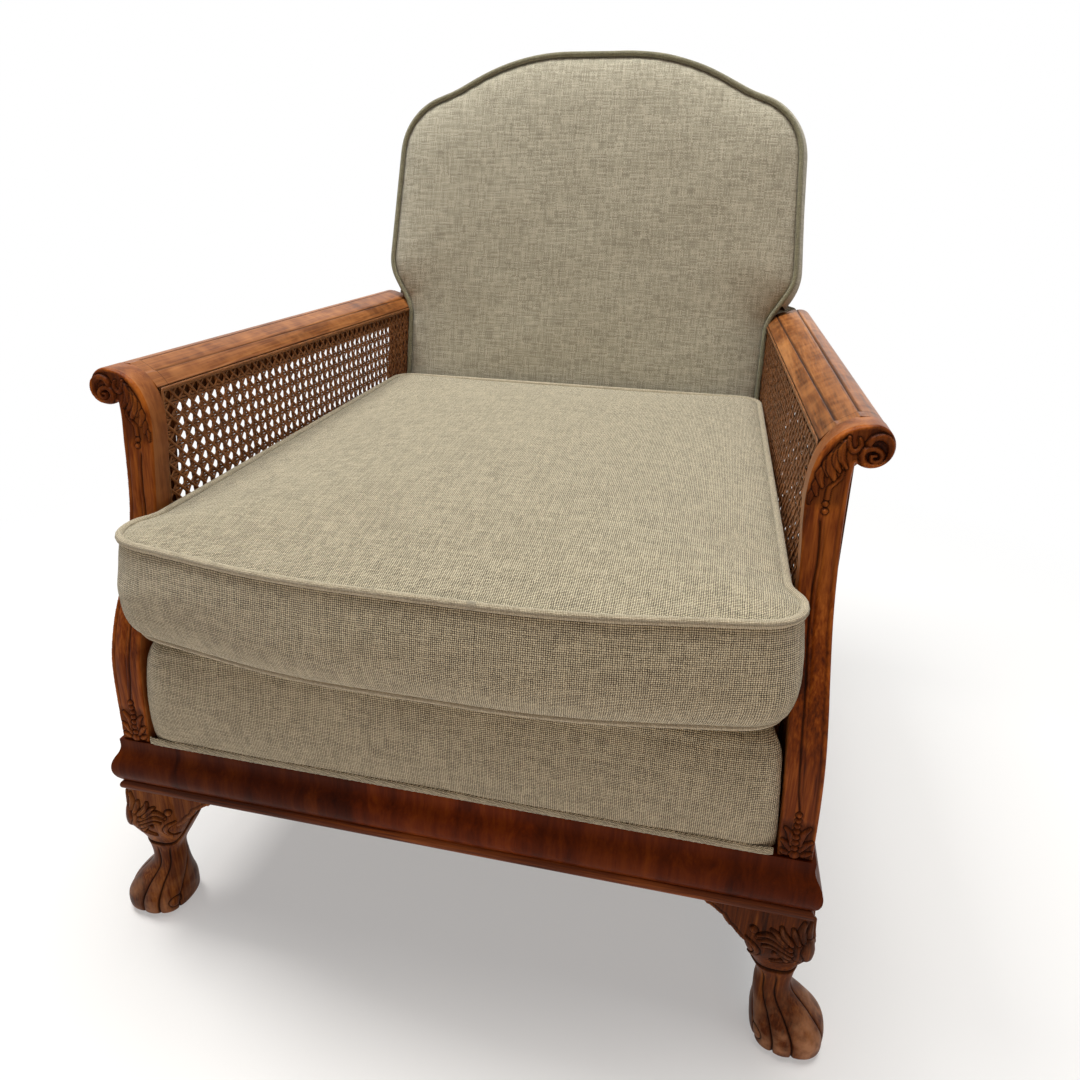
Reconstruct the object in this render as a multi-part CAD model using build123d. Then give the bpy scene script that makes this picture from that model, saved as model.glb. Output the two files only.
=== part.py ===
"""Upholstered armchair: walnut frame, caned sides, sprung seat, tight shaped back, loose cushion.

Millimetres, with X to the sitter's left, Y to the back and Z up. The origin is on the floor,
in the middle of the chair's box. Pieces are drawn with Y counted from the front rail's face,
and are moved to that origin when they are written.
"""
from build123d import *
import os
from math import atan, cos, pi, radians, sin, sqrt

# Seat frame
seat_half_front = 335.0
seat_half_rear = 326.0
leg_height = 178.0
bead_height = 12.0
bead_depth = 18.0
bead_proud = 6.0
rail_height = 49.0
rail_thick = 26.0
rail_swell = 9.0
rail_swell_rise = 18.0
rail_fillet = 5.0

# Heights above the seat rail
deck_rise = 124.5
arm_rise = 344.0
back_rise = 426.0

# Front legs
leg_inset = 19.0
leg_setback = 28.0
leg_block = 43.0
leg_block_drop = 3.0
toe_groove = 3.6
bracket_reach = 42.0
bracket_drop = 62.0
bracket_tip = 12.0
bracket_lap = 6.0
bracket_thick = 28.0

# Caned sides
cane_inset_front = 42.0
cane_inset_rear = 50.0
cane_y = 80.0
cane_thick = 2.4
cane_columns = 16
cane_rows = 8
cane_gap_share = 0.62
cane_foot_rise = 6.0
cane_front_lap = 2.0
cane_rear_gap = 6.0
binder_width = 5.0
binder_thick = 1.2
side_frame_thick = 26.0
side_frame_width = 24.0

# Back, whose plane passes through the front piping
back_y = 714.0
recline = 0.2
back_top = 276.0
neck_inset = 2.5
shoulder_flare = 16.5
ear_flare = 34.5
neck_drop = 19.2
ear_rise = 38.8
shoulder_drop = 79.0
crest_drop = 51.0
pad_rise = 8.5
pad_depth = 30.0
pad_crown = 18.0
border_inset = 8.0
border_bulge = 10.0
border_rise = 16.8
cover_thick = 1.8

# Rear posts, each one leg and back stile
post_width = 40.0
post_depth = 38.0
post_inset = 4.0
stile_drop = 126.0
stile_outset = 2.0
stile_bend_rise = 2.8
back_rail_inset = 8.0
back_rail_height = 40.0
lower_rail_rise = 84.0
crest_rail_inset = 14.0
crest_rail_height = 105.0
rear_rail_lift = 12.0
rear_knee_drop = 4.0
rear_foot_width = 28.0
rear_foot_rake = 8.0

# Arms
scroll_radius = 16.5
scroll_inset = 7.0
arm_post_y = 1.5
arm_post_lean = 0.121
arm_post_thick = 45.0
arm_depth = 23.0
cane_drop = 4.5
arm_overhang_front = 9.0
arm_overhang_rear = 13.0
arm_band = 11.5
arm_band_rise = 12.0
arm_groove = 2.0
arm_groove_depth = 1.0
arm_flat = 6.0

# Seat upholstery
deck_thick = 30.0
deck_round = 10.0
border_front = 3.0
border_swell = 6.0
border_back = 32.0
border_roll = 14.0
border_drop = 8.0
border_inset_low = 33.0
border_inset_high = 42.0
lining_inset = 6.0
lining_gap = 2.7
webbing_width = 50.0
webbing_pitch = 100.0
webbing_thick = 1.8
webbing_margin = 1.0
spring_wire = 3.6
spring_turns = 4
spring_end_radius = 40.0
spring_waist_radius = 24.0
spring_columns = (-165.0, 0.0, 165.0)
spring_row_count = 3
spring_margin_front = 150.0
spring_margin_rear = 110.0

# Loose cushion
cushion_front_height = 103.0
cushion_rear_height = 118.0
cushion_crown = 22.0
cushion_overhang = 10.0
cushion_bow = 34.0
cushion_inset_front = 42.5
cushion_inset_posts = 53.0
cushion_inset_rear = 2.0
cushion_corner_back = 24.0
cushion_waist_back = 43.0
cushion_back_gap = 19.0
cushion_lift_off = 0.5
piping_radius = 3.4

# Joinery
dowel_radius = 4.0
dowel_length = 46.0
screw_radius = 2.2
screw_length = 48.0
block_size = 52.0
block_margin = 8.0
fit_gap = 0.1
soft_gap = 0.3

# Places that follow from those sizes
rail_bottom = leg_height + bead_height
rail_top = rail_bottom + rail_height
deck_top = rail_top + deck_rise
scroll_z = rail_top + arm_rise
arm_top = scroll_z + scroll_radius
arm_under = scroll_z - arm_depth
cane_top = scroll_z - cane_drop
back_z = rail_top + back_rise
cane_half_front = seat_half_front - cane_inset_front
cane_half_rear = seat_half_rear - cane_inset_rear
back_neck = cane_half_rear - neck_inset
back_shoulder = back_neck + shoulder_flare
back_ear = back_neck + ear_flare
border_depth = pad_depth + post_depth + cover_thick + 2 * fit_gap
recline_angle = atan(recline)
lean_angle = atan(arm_post_lean)
cane_taper = (cane_half_front - cane_half_rear) / (back_y - cane_y)
rail_taper = (seat_half_front - seat_half_rear) / back_y

back_plane = Plane(
    origin=(0, back_y, back_z),
    x_dir=(1, 0, 0),
    z_dir=(0, -cos(recline_angle), sin(recline_angle)),
)
stile_face = back_plane.offset(-pad_depth)
lean_plane = Plane(
    origin=(0, arm_post_y, rail_top),
    x_dir=(1, 0, 0),
    z_dir=(0, -cos(lean_angle), sin(lean_angle)),
)
post_rear_face = lean_plane.offset(-arm_post_thick)
side_plane = Plane(
    origin=(cane_half_front, cane_y, 0),
    x_dir=(-cane_taper, 1, 0),
    z_dir=(1, cane_taper, 0),
)

left = {}
middle = {}
pegs = {"frame_dowels": [], "frame_screws": []}


def slab(plane, outline, start, end):
    """A plate: a closed outline drawn on a plane, between two distances from that plane."""
    face = plane.offset(start) * make_face(outline)
    return extrude(face, amount=end - start, dir=plane.z_dir)


def above(shape, height):
    return split(shape, bisect_by=Plane.XY.offset(height), keep=Keep.TOP)


def back_y_at(height, ahead):
    """Y of a point at a height, a distance ahead of the back's front plane."""
    return back_y + recline * (height - back_z) - ahead / cos(recline_angle)


def rise(height):
    """Distance up the reclined back of a point at a height."""
    return (height - back_z) / cos(recline_angle)


def cane_half(y):
    return cane_half_front - cane_taper * (y - cane_y)


def mirrored(half):
    """Corners of a closed outline, symmetric about X = 0, from the corners of its +X half."""
    return list(half) + [(-x, y) for x, y in reversed(half)]


def grown(corners, by):
    """Corners of a counter-clockwise outline whose sides are moved outwards by a distance."""
    moved = []
    for index, corner in enumerate(corners):
        here = Vector(*corner)
        into = (here - Vector(*corners[index - 1])).normalized()
        out = (Vector(*corners[(index + 1) % len(corners)]) - here).normalized()
        normal_in = Vector(into.Y, -into.X)
        normal_out = Vector(out.Y, -out.X)
        point = here + (normal_in + normal_out) * (by / (1 + normal_in.dot(normal_out)))
        moved.append((point.X, point.Y))
    return moved


def turned_radii(corners, radii, by):
    """Corner radii of a grown outline: hollow turns tighten where round turns open."""
    changed = []
    for index, radius in enumerate(radii):
        before = Vector(*corners[index]) - Vector(*corners[index - 1])
        after = Vector(*corners[(index + 1) % len(corners)]) - Vector(*corners[index])
        side = 1 if before.X * after.Y - before.Y * after.X > 0 else -1
        changed.append(radius + side * by)
    return changed


def rounded(corners, radii, by=0.0):
    """A closed outline with rounded corners, moved outwards by a distance."""
    return FilletPolyline(*grown(corners, by), radius=turned_radii(corners, radii, by), close=True)


def rail_profile():
    """Seat rail section: X outwards from the rail's top edge, Y up."""
    swell_z = rail_bottom + rail_swell_rise
    above_swell = rail_height - rail_swell_rise
    foot = (rail_swell / 3, rail_bottom)
    hollow = (0.1 * rail_swell, swell_z + 0.61 * above_swell)
    shoulder = (0.45 * rail_swell, swell_z + 0.42 * above_swell)
    brow = (0, rail_top - rail_fillet)
    return [
        Polyline(foot, (-rail_thick, rail_bottom), (-rail_thick, rail_top), (0, rail_top), brow),
        ThreePointArc(brow, hollow, shoulder),
        ThreePointArc(shoulder, (rail_swell, swell_z), foot),
    ]


def bead_profile():
    """Lower bead section, planted under the rail's outer edge."""
    middle_z = rail_bottom - bead_height / 2
    return [
        Polyline((0, leg_height), (-bead_depth, leg_height), (-bead_depth, rail_bottom), (0, rail_bottom)),
        ThreePointArc((0, rail_bottom), (bead_proud, middle_z), (0, leg_height)),
    ]


def front_run(profile):
    plane = Plane(origin=(0, 0, 0), x_dir=(0, -1, 0), z_dir=(-1, 0, 0))
    reach = seat_half_front + 4 * rail_swell
    bar = slab(plane, profile, -reach, reach)
    bar = split(bar, bisect_by=mitre, keep=Keep.BOTTOM)
    return split(bar, bisect_by=mitre_right, keep=Keep.BOTTOM)


def side_run(profile):
    plane = Plane(origin=(seat_half_front, 0, 0), x_dir=(1, rail_taper, 0), z_dir=(rail_taper, -1, 0))
    bar = slab(plane, profile, -back_y - post_depth, 4 * rail_swell)
    bar = split(bar, bisect_by=mitre, keep=Keep.TOP)
    return split(bar, bisect_by=stile_face, keep=Keep.TOP)


side_direction = Vector(-rail_taper, 1, 0).normalized()
mitre_normal = (side_direction + Vector(1, 0, 0)).normalized()
mitre = Plane(origin=(seat_half_front, 0, 0), x_dir=(0, 0, 1), z_dir=mitre_normal)
mitre_right = Plane(
    origin=(-seat_half_front, 0, 0), x_dir=(0, 0, 1), z_dir=(-mitre_normal.X, mitre_normal.Y, 0)
)

# Seat rails and beads
middle["front_rail"] = front_run(rail_profile())
middle["front_bead"] = front_run(bead_profile())
left["side_rail"] = side_run(rail_profile())
left["side_bead"] = side_run(bead_profile())

# Front leg: rounded square sections from paw to knee, as height, outward and back shift, width
leg_x = seat_half_front - leg_inset
leg_sections = [
    (0.00, 27, 2, 62, 22),
    (0.05, 27, 1, 68, 26),
    (0.14, 25, 0, 66, 26),
    (0.26, 17, -2, 52, 22),
    (0.38, 7, -3, 35, 15),
    (0.49, 6, -2, 33, 14),
    (0.60, 3, -1, 44, 14),
    (0.74, 2, -1, 62, 13),
    (0.88, 0, 0, 60, 9),
    (1.00, 0, 0, 57, 6),
]


block_x = seat_half_front - rail_thick - rail_taper * (rail_thick + leg_block) - leg_block / 2
block_y = rail_thick + leg_block / 2
leg_block_top = rail_top - leg_block_drop


def leg_surface(section, heading):
    """Point on the outside of a leg section in a heading about its middle."""
    share, outward, back, width, corner = section
    across, along = abs(cos(heading)), abs(sin(heading))
    flat = width / 2 - corner
    reach = width / 2 / max(across, along)
    if reach * min(across, along) > flat:
        lean = flat * (across + along)
        reach = lean + sqrt(lean**2 - 2 * flat**2 + corner**2)
    return Vector(
        leg_x + outward + reach * cos(heading), leg_setback + back + reach * sin(heading), share * leg_height
    )


def front_leg():
    faces = []
    for share, outward, back, width, corner in leg_sections:
        place = Pos(leg_x + outward, leg_setback + back, share * leg_height)
        faces.append(place * RectangleRounded(width, width, corner))
    leg = loft(faces)
    for heading in (-116, -84, -50):
        line = ThreePointArc(*[leg_surface(section, radians(heading)) for section in leg_sections[0:5:2]])
        section_plane = Plane(origin=line @ 0, z_dir=line % 0)
        leg -= sweep(section_plane * Circle(toe_groove), path=line)
    block = Pos(block_x, block_y, (leg_height + leg_block_top) / 2) * Box(
        leg_block, leg_block, leg_block_top - leg_height
    )
    return leg + block


def knee_bracket(plane, reach_from):
    """A bracket beside the knee, hollowed below, drawn with X towards the leg."""
    root = reach_from + bracket_lap
    end = reach_from - bracket_reach
    tip = (end, leg_height - bracket_tip)
    low = (root, leg_height - bracket_drop)
    hollow = (root - 0.46 * (root - end), leg_height - 0.52 * bracket_drop)
    outline = [
        Polyline(low, (root, leg_height), (end, leg_height), tip),
        ThreePointArc(tip, hollow, low),
    ]
    return slab(plane, outline, 0, bracket_thick)


left["front_leg"] = front_leg()
leg_inner_x = leg_x - leg_sections[-1][3] / 2
leg_inner_y = leg_setback + leg_sections[-1][3] / 2
bracket_back = bead_depth / 3
front_bracket_plane = Plane(origin=(0, bracket_back + bracket_thick, 0), x_dir=(1, 0, 0), z_dir=(0, -1, 0))
side_bracket_plane = Plane(
    origin=(seat_half_front - bracket_back, 0, 0), x_dir=(0, -1, 0), z_dir=(-1, 0, 0)
)
left["knee_bracket_front"] = knee_bracket(front_bracket_plane, leg_inner_x) - left["front_leg"]
left["knee_bracket_side"] = knee_bracket(side_bracket_plane, -leg_inner_y) - left["front_leg"]

# Back outline, up from the front piping plane's middle
pad_bottom = rise(deck_top) + pad_rise
back_half = [
    (back_neck, pad_bottom),
    (back_neck, rise(arm_top) - neck_drop),
    (back_ear, rise(arm_top) + ear_rise),
    (back_shoulder, back_top - shoulder_drop),
    (0.735 * back_shoulder, back_top - crest_drop),
    (0.40 * back_shoulder, back_top),
]
back_corners = mirrored(back_half)
back_radii_half = [18, 50, 60, 85, 200, 300]
back_radii = back_radii_half + back_radii_half[::-1]


def back_outline(by=0.0):
    return rounded(back_corners, back_radii, by)


def back_band(low, high):
    """A wide rectangle between two distances up the back, to cut shapes with."""
    wide = 2 * back_ear
    return Polyline((-wide, low), (wide, low), (wide, high), (-wide, high), close=True)


# Rear post: a raked leg, a stile behind the caned side, and a narrower stile inside the back
post_outer = seat_half_rear - post_inset
post_inner = post_outer - post_width
stile_top = back_top - stile_drop
stile_bend = rise(arm_top) + stile_bend_rise
stile_outer = back_neck + stile_outset
stile_inner = stile_outer - post_width


def rear_post():
    knee_z = rail_bottom - rear_knee_drop
    outline = Polyline(
        (post_inner, rise(0)),
        (post_outer, rise(0)),
        (post_outer, rise(arm_under)),
        (stile_outer, stile_bend),
        (stile_outer, stile_top),
        (stile_inner, stile_top),
        (stile_inner, stile_bend),
        (post_inner, rise(arm_under)),
        close=True,
    )
    stile = above(slab(stile_face, outline, -post_depth, 0), knee_z)
    knee_depth = post_depth / cos(recline_angle)
    knee_y = back_y_at(knee_z, -pad_depth) + knee_depth / 2
    middle_x = (post_inner + post_outer) / 2
    knee = Pos(middle_x, knee_y, knee_z) * Rectangle(post_width, knee_depth)
    foot = Pos(middle_x, back_y + rear_foot_rake, 0) * Rectangle(rear_foot_width, rear_foot_width)
    return stile + loft([foot, knee], ruled=True)


left["rear_post"] = rear_post()


def back_rail(low, high, half):
    outline = Polyline((-half, low), (half, low), (half, high), (-half, high), close=True)
    return slab(stile_face, outline, -post_depth + back_rail_inset, 0)


middle["rear_rail"] = back_rail(rise(rail_bottom + rear_rail_lift), rise(rail_top), post_inner)
lower_rail_low = pad_bottom + lower_rail_rise
lower_rail_high = lower_rail_low + back_rail_height
middle["lower_back_rail"] = back_rail(lower_rail_low, lower_rail_high, post_inner)
crest = slab(stile_face, back_outline(-crest_rail_inset), -post_depth + back_rail_inset, 0)
crest &= slab(stile_face, back_band(stile_top, 2 * back_top), -post_depth, 0)
crest_low = back_top - crest_rail_height
crest_gap = Polyline(
    (-stile_inner, 0), (stile_inner, 0), (stile_inner, crest_low), (-stile_inner, crest_low), close=True
)
middle["crest_rail"] = crest - slab(stile_face, crest_gap, -post_depth, 0)

# Arm post: front edges as inset and share of the arm's rise, side view as setback and share
outer_edge = [
    (3.5, 0), (5, 0.15), (7.5, 0.29), (11, 0.45), (14, 0.59), (16.5, 0.73), (18, 0.83), (17.8, 0.91),
]
inner_edge = [
    (19, 1.042), (31, 1.023), (40, 0.991), (46, 0.945), (48.5, 0.885), (48, 0.82), (46, 0.75),
    (43.5, 0.62), (41, 0.453), (38, 0.282), (35, 0.148), (32, 0),
]
front_edge = [
    (0, -0.1), (0, 0.1), (0.5, 0.24), (4, 0.31), (13, 0.39), (26, 0.465), (41, 0.56), (50, 0.645),
    (54, 0.73), (56, 0.82), (59, 0.93), (64, 1.1),
]
post_plane = Plane(origin=(0, arm_post_y, rail_top), x_dir=(1, 0, 0), z_dir=(0, -1, 0))
post_side_plane = Plane(origin=(0, arm_post_y, rail_top), x_dir=(0, 1, 0), z_dir=(1, 0, 0))


def on_post(point):
    """A point of the post's front view, from its inset and its share of the arm's rise."""
    inset, share = point
    return (seat_half_front - inset, share * arm_rise)


def arm_post():
    centre = Vector(*on_post((scroll_inset, 1)))
    cusp = centre + Vector(-0.58, -0.815) * scroll_radius
    side = centre + Vector(scroll_radius, 0)
    top = centre + Vector(0, scroll_radius)
    low = centre + Vector(0.707, -0.707) * scroll_radius
    high = centre + Vector(0.707, 0.707) * scroll_radius
    foot_in = Vector(*on_post(inner_edge[-1]))
    foot_out = Vector(*on_post(outer_edge[0]))
    drop = Vector(0, -rail_thick)
    outline = [
        Spline(*[on_post(point) for point in outer_edge], cusp),
        ThreePointArc(cusp, low, side),
        ThreePointArc(side, high, top),
        Spline(top, *[on_post(point) for point in inner_edge]),
        Polyline(foot_in, foot_in + drop, foot_out + drop, foot_out),
    ]
    deep = 4 * arm_post_thick
    post = split(slab(post_plane, outline, -deep, rail_thick), bisect_by=post_rear_face, keep=Keep.TOP)
    edge = [(setback, share * arm_rise) for setback, share in front_edge]
    profile = [Spline(*edge), Polyline(edge[-1], (deep, edge[-1][1]), (deep, edge[0][1]), edge[0])]
    post &= slab(post_side_plane, profile, 0, 2 * seat_half_front)
    return above(post, rail_top)


left["arm_post"] = arm_post()


def arm_section(y):
    """Arm rail section at a depth: rebate for the cane, moulded top, rolled outer edge."""
    inner = cane_half(y)
    out_front = seat_half_front + arm_overhang_front
    out_rear = seat_half_rear + arm_overhang_rear
    outer = out_front - (out_front - out_rear) * (y - cane_y) / (back_y - cane_y)
    roll = scroll_radius
    top = scroll_z + roll
    roll_x = outer - roll
    slant = 0.707 * roll
    rebate = cane_thick + 2 * soft_gap
    outline = [
        Polyline(
            (roll_x, top - 2 * roll),
            (roll_x - arm_flat, arm_under),
            (inner + rebate, arm_under),
            (inner + rebate, cane_top),
            (inner, cane_top),
            (inner + arm_band, cane_top + arm_band_rise),
            (inner + arm_band + arm_groove, cane_top + arm_band_rise - arm_groove_depth),
            (roll_x - arm_flat, top),
            (roll_x, top),
        ),
        ThreePointArc((roll_x, top), (roll_x + slant, scroll_z + slant), (outer, scroll_z)),
        ThreePointArc((outer, scroll_z), (roll_x + slant, scroll_z - slant), (roll_x, top - 2 * roll)),
    ]
    plane = Plane(origin=(0, y, 0), x_dir=(1, 0, 0), z_dir=(0, -1, 0))
    return plane * make_face(outline)


arm = loft([arm_section(cane_y - 2 * arm_post_thick), arm_section(back_y + 4 * post_depth)], ruled=True)
arm = split(arm, bisect_by=post_rear_face, keep=Keep.BOTTOM)
left["arm_rail"] = split(arm, bisect_by=stile_face, keep=Keep.TOP)


# Frame of the caned side, drawn with X along the arm from the cane's front edge
def front_line(height):
    return arm_post_y + arm_post_thick / cos(lean_angle) + arm_post_lean * (height - rail_top) - cane_y


def rear_line(height):
    return back_y_at(height, -pad_depth) - cane_y


def leaning_plate(front, rear, low, high, start, end):
    corners = [(front(low), low), (rear(low), low), (rear(high), high), (front(high), high)]
    return slab(side_plane, Polyline(*corners, close=True), start, end)


frame_in = cane_thick + 2 * soft_gap
frame_out = frame_in + side_frame_thick
upright = leaning_plate(
    lambda z: front_line(z) - side_frame_width,
    lambda z: front_line(z) + side_frame_width,
    rail_top, arm_under, frame_in, frame_out,
)
left["side_upright_front"] = split(upright, bisect_by=post_rear_face, keep=Keep.BOTTOM)
upright = leaning_plate(
    lambda z: rear_line(z) - side_frame_width,
    lambda z: rear_line(z) + side_frame_width,
    rail_top, arm_under, frame_in, frame_out,
)
left["side_upright_rear"] = split(upright, bisect_by=stile_face, keep=Keep.TOP)
left["side_lower_rail"] = leaning_plate(
    lambda z: front_line(z) + side_frame_width,
    lambda z: rear_line(z) - side_frame_width,
    rail_top, rail_top + side_frame_width, frame_in, frame_out,
)


# Cane panel: one net over the frame's inner face, and the binder cane along its edges
def cane_front(height):
    return front_line(height) + cane_front_lap


def cane_rear(height):
    return rear_line(height) - cane_rear_gap


def cane_ring(inset):
    low = rail_top + cane_foot_rise + inset
    high = cane_top - soft_gap - inset
    return Polyline(
        (cane_front(low) + inset, low),
        (cane_rear(low) - inset, low),
        (cane_rear(high) - inset, high),
        (cane_front(high) + inset, high),
        close=True,
    )


def cane_net():
    margin = side_frame_width - cane_rear_gap
    low = rail_top + side_frame_width
    high = arm_under
    row_pitch = (high - low) / cane_rows
    gaps = []
    for row in range(cane_rows):
        z = low + (row + 0.5) * row_pitch
        start = cane_front(z) + margin
        pitch = (cane_rear(z) - margin - start) / cane_columns
        for column in range(cane_columns):
            x = start + (column + 0.5) * pitch
            gaps.append(Pos(x, z) * Rectangle(cane_gap_share * pitch, cane_gap_share * row_pitch))
    holes = [gap.face().outer_wire() for gap in gaps]
    net = Face(Wire(cane_ring(0).edges()), holes)
    return extrude(side_plane.offset(soft_gap) * net, amount=cane_thick, dir=side_plane.z_dir)


left["cane_panel"] = cane_net()
binder = slab(side_plane, cane_ring(0), -binder_thick, 0)
left["cane_binder"] = binder - slab(side_plane, cane_ring(binder_width), -2 * binder_thick, binder_thick)

# Back upholstery
border_start = rise(arm_top) + border_rise
webbing_stack = 2 * (webbing_thick + fit_gap)


def back_pad():
    """Stuffed pad: a flat edge band under a crowned face."""
    levels = [
        (-pad_depth + webbing_stack, 1.0),
        (-0.1 * pad_crown, 1.0),
        (0.33 * pad_crown, 0.975),
        (0.72 * pad_crown, 0.86),
        (pad_crown, 0.55),
    ]
    centre = Vector(0, (pad_bottom + back_top) / 2)
    base = make_face(back_outline(-border_inset))
    faces = []
    for ahead, share in levels:
        shrunk = Pos(*centre) * scale(Pos(*(-centre)) * base, share)
        faces.append(back_plane.offset(ahead) * shrunk)
    return loft(faces, ruled=True)


def back_piping(radius):
    """Piping along the pad's front edge, from one foot of the back over the top to the other."""
    corners = grown(back_corners, -border_inset / 2)
    radii = turned_radii(back_corners, back_radii, -border_inset / 2)
    path = back_plane * FilletPolyline(*corners, radius=radii[1:-1])
    return sweep(Plane(origin=path @ 0, z_dir=path % 0) * Circle(radius), path=path)


def back_border():
    """Fabric band round the back, swelled between its two edges, stopped above the arms."""
    levels = [(-border_depth, 0.35 * border_bulge), (-0.45 * border_depth, border_bulge), (-1, 0.0)]
    faces = [back_plane.offset(ahead) * make_face(back_outline(by)) for ahead, by in levels]
    band = loft(faces, ruled=True)
    band -= slab(back_plane, back_outline(soft_gap - border_inset), -2 * border_depth, border_depth)
    return band & slab(back_plane, back_band(border_start, 2 * back_top), -2 * border_depth, border_depth)


piping_groove = back_piping(piping_radius + soft_gap)
middle["back_piping"] = back_piping(piping_radius)
middle["back_pad"] = back_pad() - piping_groove
middle["back_border"] = back_border() - piping_groove
cover_start = -border_depth - fit_gap - cover_thick
cover = slab(back_plane, back_outline(cover_thick), cover_start, cover_start + cover_thick)
cover &= slab(back_plane, back_band(border_start, 2 * back_top), 2 * cover_start, 0)
skirt_half = post_outer - cover_thick
skirt_low = rise(rail_top)
skirt = Polyline(
    (-skirt_half, skirt_low),
    (skirt_half, skirt_low),
    (skirt_half, border_start),
    (-skirt_half, border_start),
    close=True,
)
middle["outside_back"] = cover + slab(back_plane, skirt, cover_start, cover_start + cover_thick)


def strap(plane, start, low, high):
    """A flat strap on a plane, between two opposite corners."""
    outline = Polyline(low, (high[0], low[1]), high, (low[0], high[1]), close=True)
    return slab(plane, outline, start, start + webbing_thick)


def upright_straps(plane, start, count, low, high):
    """Parallel straps along a plane's Y, a pitch apart about its middle."""
    centres = [webbing_pitch * (index - (count - 1) / 2) for index in range(count)]
    half = webbing_width / 2
    return Compound([strap(plane, start, (x - half, low), (x + half, high)) for x in centres])


def cross_straps(plane, start, centres, reach_at):
    """Parallel straps along a plane's X, each with its own reach."""
    half = webbing_width / 2
    return Compound([
        strap(plane, start, (-reach_at(y), y - half), (reach_at(y), y + half)) for y in centres
    ])


back_strap_count = 3
back_strap_pitch = (stile_top - lower_rail_high) / back_strap_count
back_strap_rows = [lower_rail_high + (index + 0.75) * back_strap_pitch for index in range(back_strap_count)]
middle["back_webbing_upright"] = upright_straps(
    stile_face, fit_gap, 4, lower_rail_low + back_rail_height / 10, back_top - 0.6 * crest_rail_height
)
middle["back_webbing_cross"] = cross_straps(
    stile_face,
    webbing_thick + 2 * fit_gap,
    back_strap_rows,
    lambda height: stile_inner + 0.4 * post_width,
)

# Seat upholstery
rear_rail_y = back_y_at(rail_bottom, -pad_depth)
under_seat = Plane.XY.offset(rail_bottom)
spring_span = rear_rail_y - spring_margin_front - spring_margin_rear
spring_rows = [
    spring_margin_front + spring_span * index / (spring_row_count - 1) for index in range(spring_row_count)
]


def inside_bead(y):
    """Half width between the side beads at a depth."""
    return seat_half_front - rail_taper * y - bead_depth - webbing_margin


bead_back = bead_depth + webbing_margin
middle["seat_webbing_long"] = upright_straps(
    under_seat, -webbing_thick - fit_gap, 5, bead_back, rear_rail_y + post_depth / 2
)
middle["seat_webbing_cross"] = cross_straps(
    under_seat,
    -webbing_stack,
    spring_rows,
    lambda y: min(inside_bead(y - webbing_width / 2), inside_bead(y + webbing_width / 2)),
)


def seat_plan(inset, front, rear):
    """Tapered plan of the seat between the caned sides."""
    near = cane_half(front) - inset
    far = cane_half(rear) - inset
    return Polyline((-near, front), (near, front), (far, rear), (-far, rear), close=True)


deck_rear = back_y_at(deck_top, pad_crown) - cover_thick
deck_low = deck_top - deck_thick
hessian_low = deck_low - fit_gap - cover_thick
deck_plan = seat_plan(lining_inset, border_back + soft_gap, deck_rear)
deck_block = slab(Plane.XY, deck_plan, deck_low, deck_top)
middle["seat_deck"] = fillet(deck_block.edges().group_by(Axis.Z)[-1], deck_round)
middle["seat_hessian"] = slab(Plane.XY, deck_plan, hessian_low, hessian_low + cover_thick)


def seat_front_border():
    """Front of the sprung seat: a swelled fabric face with a rounded upper edge."""
    low = rail_top + soft_gap
    high = deck_top - border_drop
    roll = border_roll
    profile = [
        Polyline((border_front, low), (border_back, low), (border_back, high), (border_front + roll, high)),
        ThreePointArc(
            (border_front + roll, high),
            (border_front + 0.293 * roll, high - 0.293 * roll),
            (border_front, high - roll),
        ),
        ThreePointArc(
            (border_front, high - roll), (border_front - border_swell, (low + high) / 2), (border_front, low)
        ),
    ]
    plane = Plane(origin=(0, 0, 0), x_dir=(0, 1, 0), z_dir=(1, 0, 0))
    half_low = seat_half_front - border_inset_low
    half_high = seat_half_front - border_inset_high
    bar = slab(plane, profile, -half_low, half_low)
    gusset = Polyline((-half_low, low), (half_low, low), (half_high, high), (-half_high, high), close=True)
    front = Plane(origin=(0, 0, 0), x_dir=(1, 0, 0), z_dir=(0, -1, 0))
    return bar & slab(front, gusset, -2 * border_back, 2 * border_back)


middle["seat_front_border"] = seat_front_border()
left["seat_side_lining"] = leaning_plate(
    lambda z: border_back + soft_gap - cane_y,
    lambda z: deck_rear - deck_round - cane_y,
    rail_top + soft_gap, deck_low, -lining_gap - cover_thick, -lining_gap,
)

dust_rear = rear_rail_y - cover_thick
dust_plan = Polyline(
    (-inside_bead(bead_back), bead_back),
    (inside_bead(bead_back), bead_back),
    (inside_bead(dust_rear), dust_rear),
    (-inside_bead(dust_rear), dust_rear),
    close=True,
)
dust_top = rail_bottom - webbing_stack - fit_gap
dust = slab(Plane.XY, dust_plan, dust_top - cover_thick, dust_top)


# Hourglass springs: each one wire, wound in half turns of two tangent arcs
def biarc(start, start_way, end, end_way):
    """Two arcs that leave one point and reach another along given directions."""
    span = end - start
    spread = 2 * (1 - start_way.dot(end_way))
    along = span.dot(start_way + end_way)
    reach = (sqrt(along * along + spread * span.dot(span)) - along) / spread
    first = start + start_way * reach
    last = end - end_way * reach
    join = (first + last) * 0.5
    way = (last - first).normalized()
    return [
        Edge.make_tangent_arc(start, start_way, join),
        Edge.make_tangent_arc(join, way, end),
    ]


spring_foot = rail_bottom + spring_wire / 2 + fit_gap
spring_rise = hessian_low - rail_bottom - spring_wire - 2 * fit_gap


def spring_point(turn):
    """Point on the spring's line after a number of turns from its foot."""
    share = turn / spring_turns
    radius = spring_waist_radius + (spring_end_radius - spring_waist_radius) * (2 * share - 1) ** 2
    angle = 2 * pi * turn
    return Vector(radius * cos(angle), radius * sin(angle), spring_rise * share)


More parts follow.
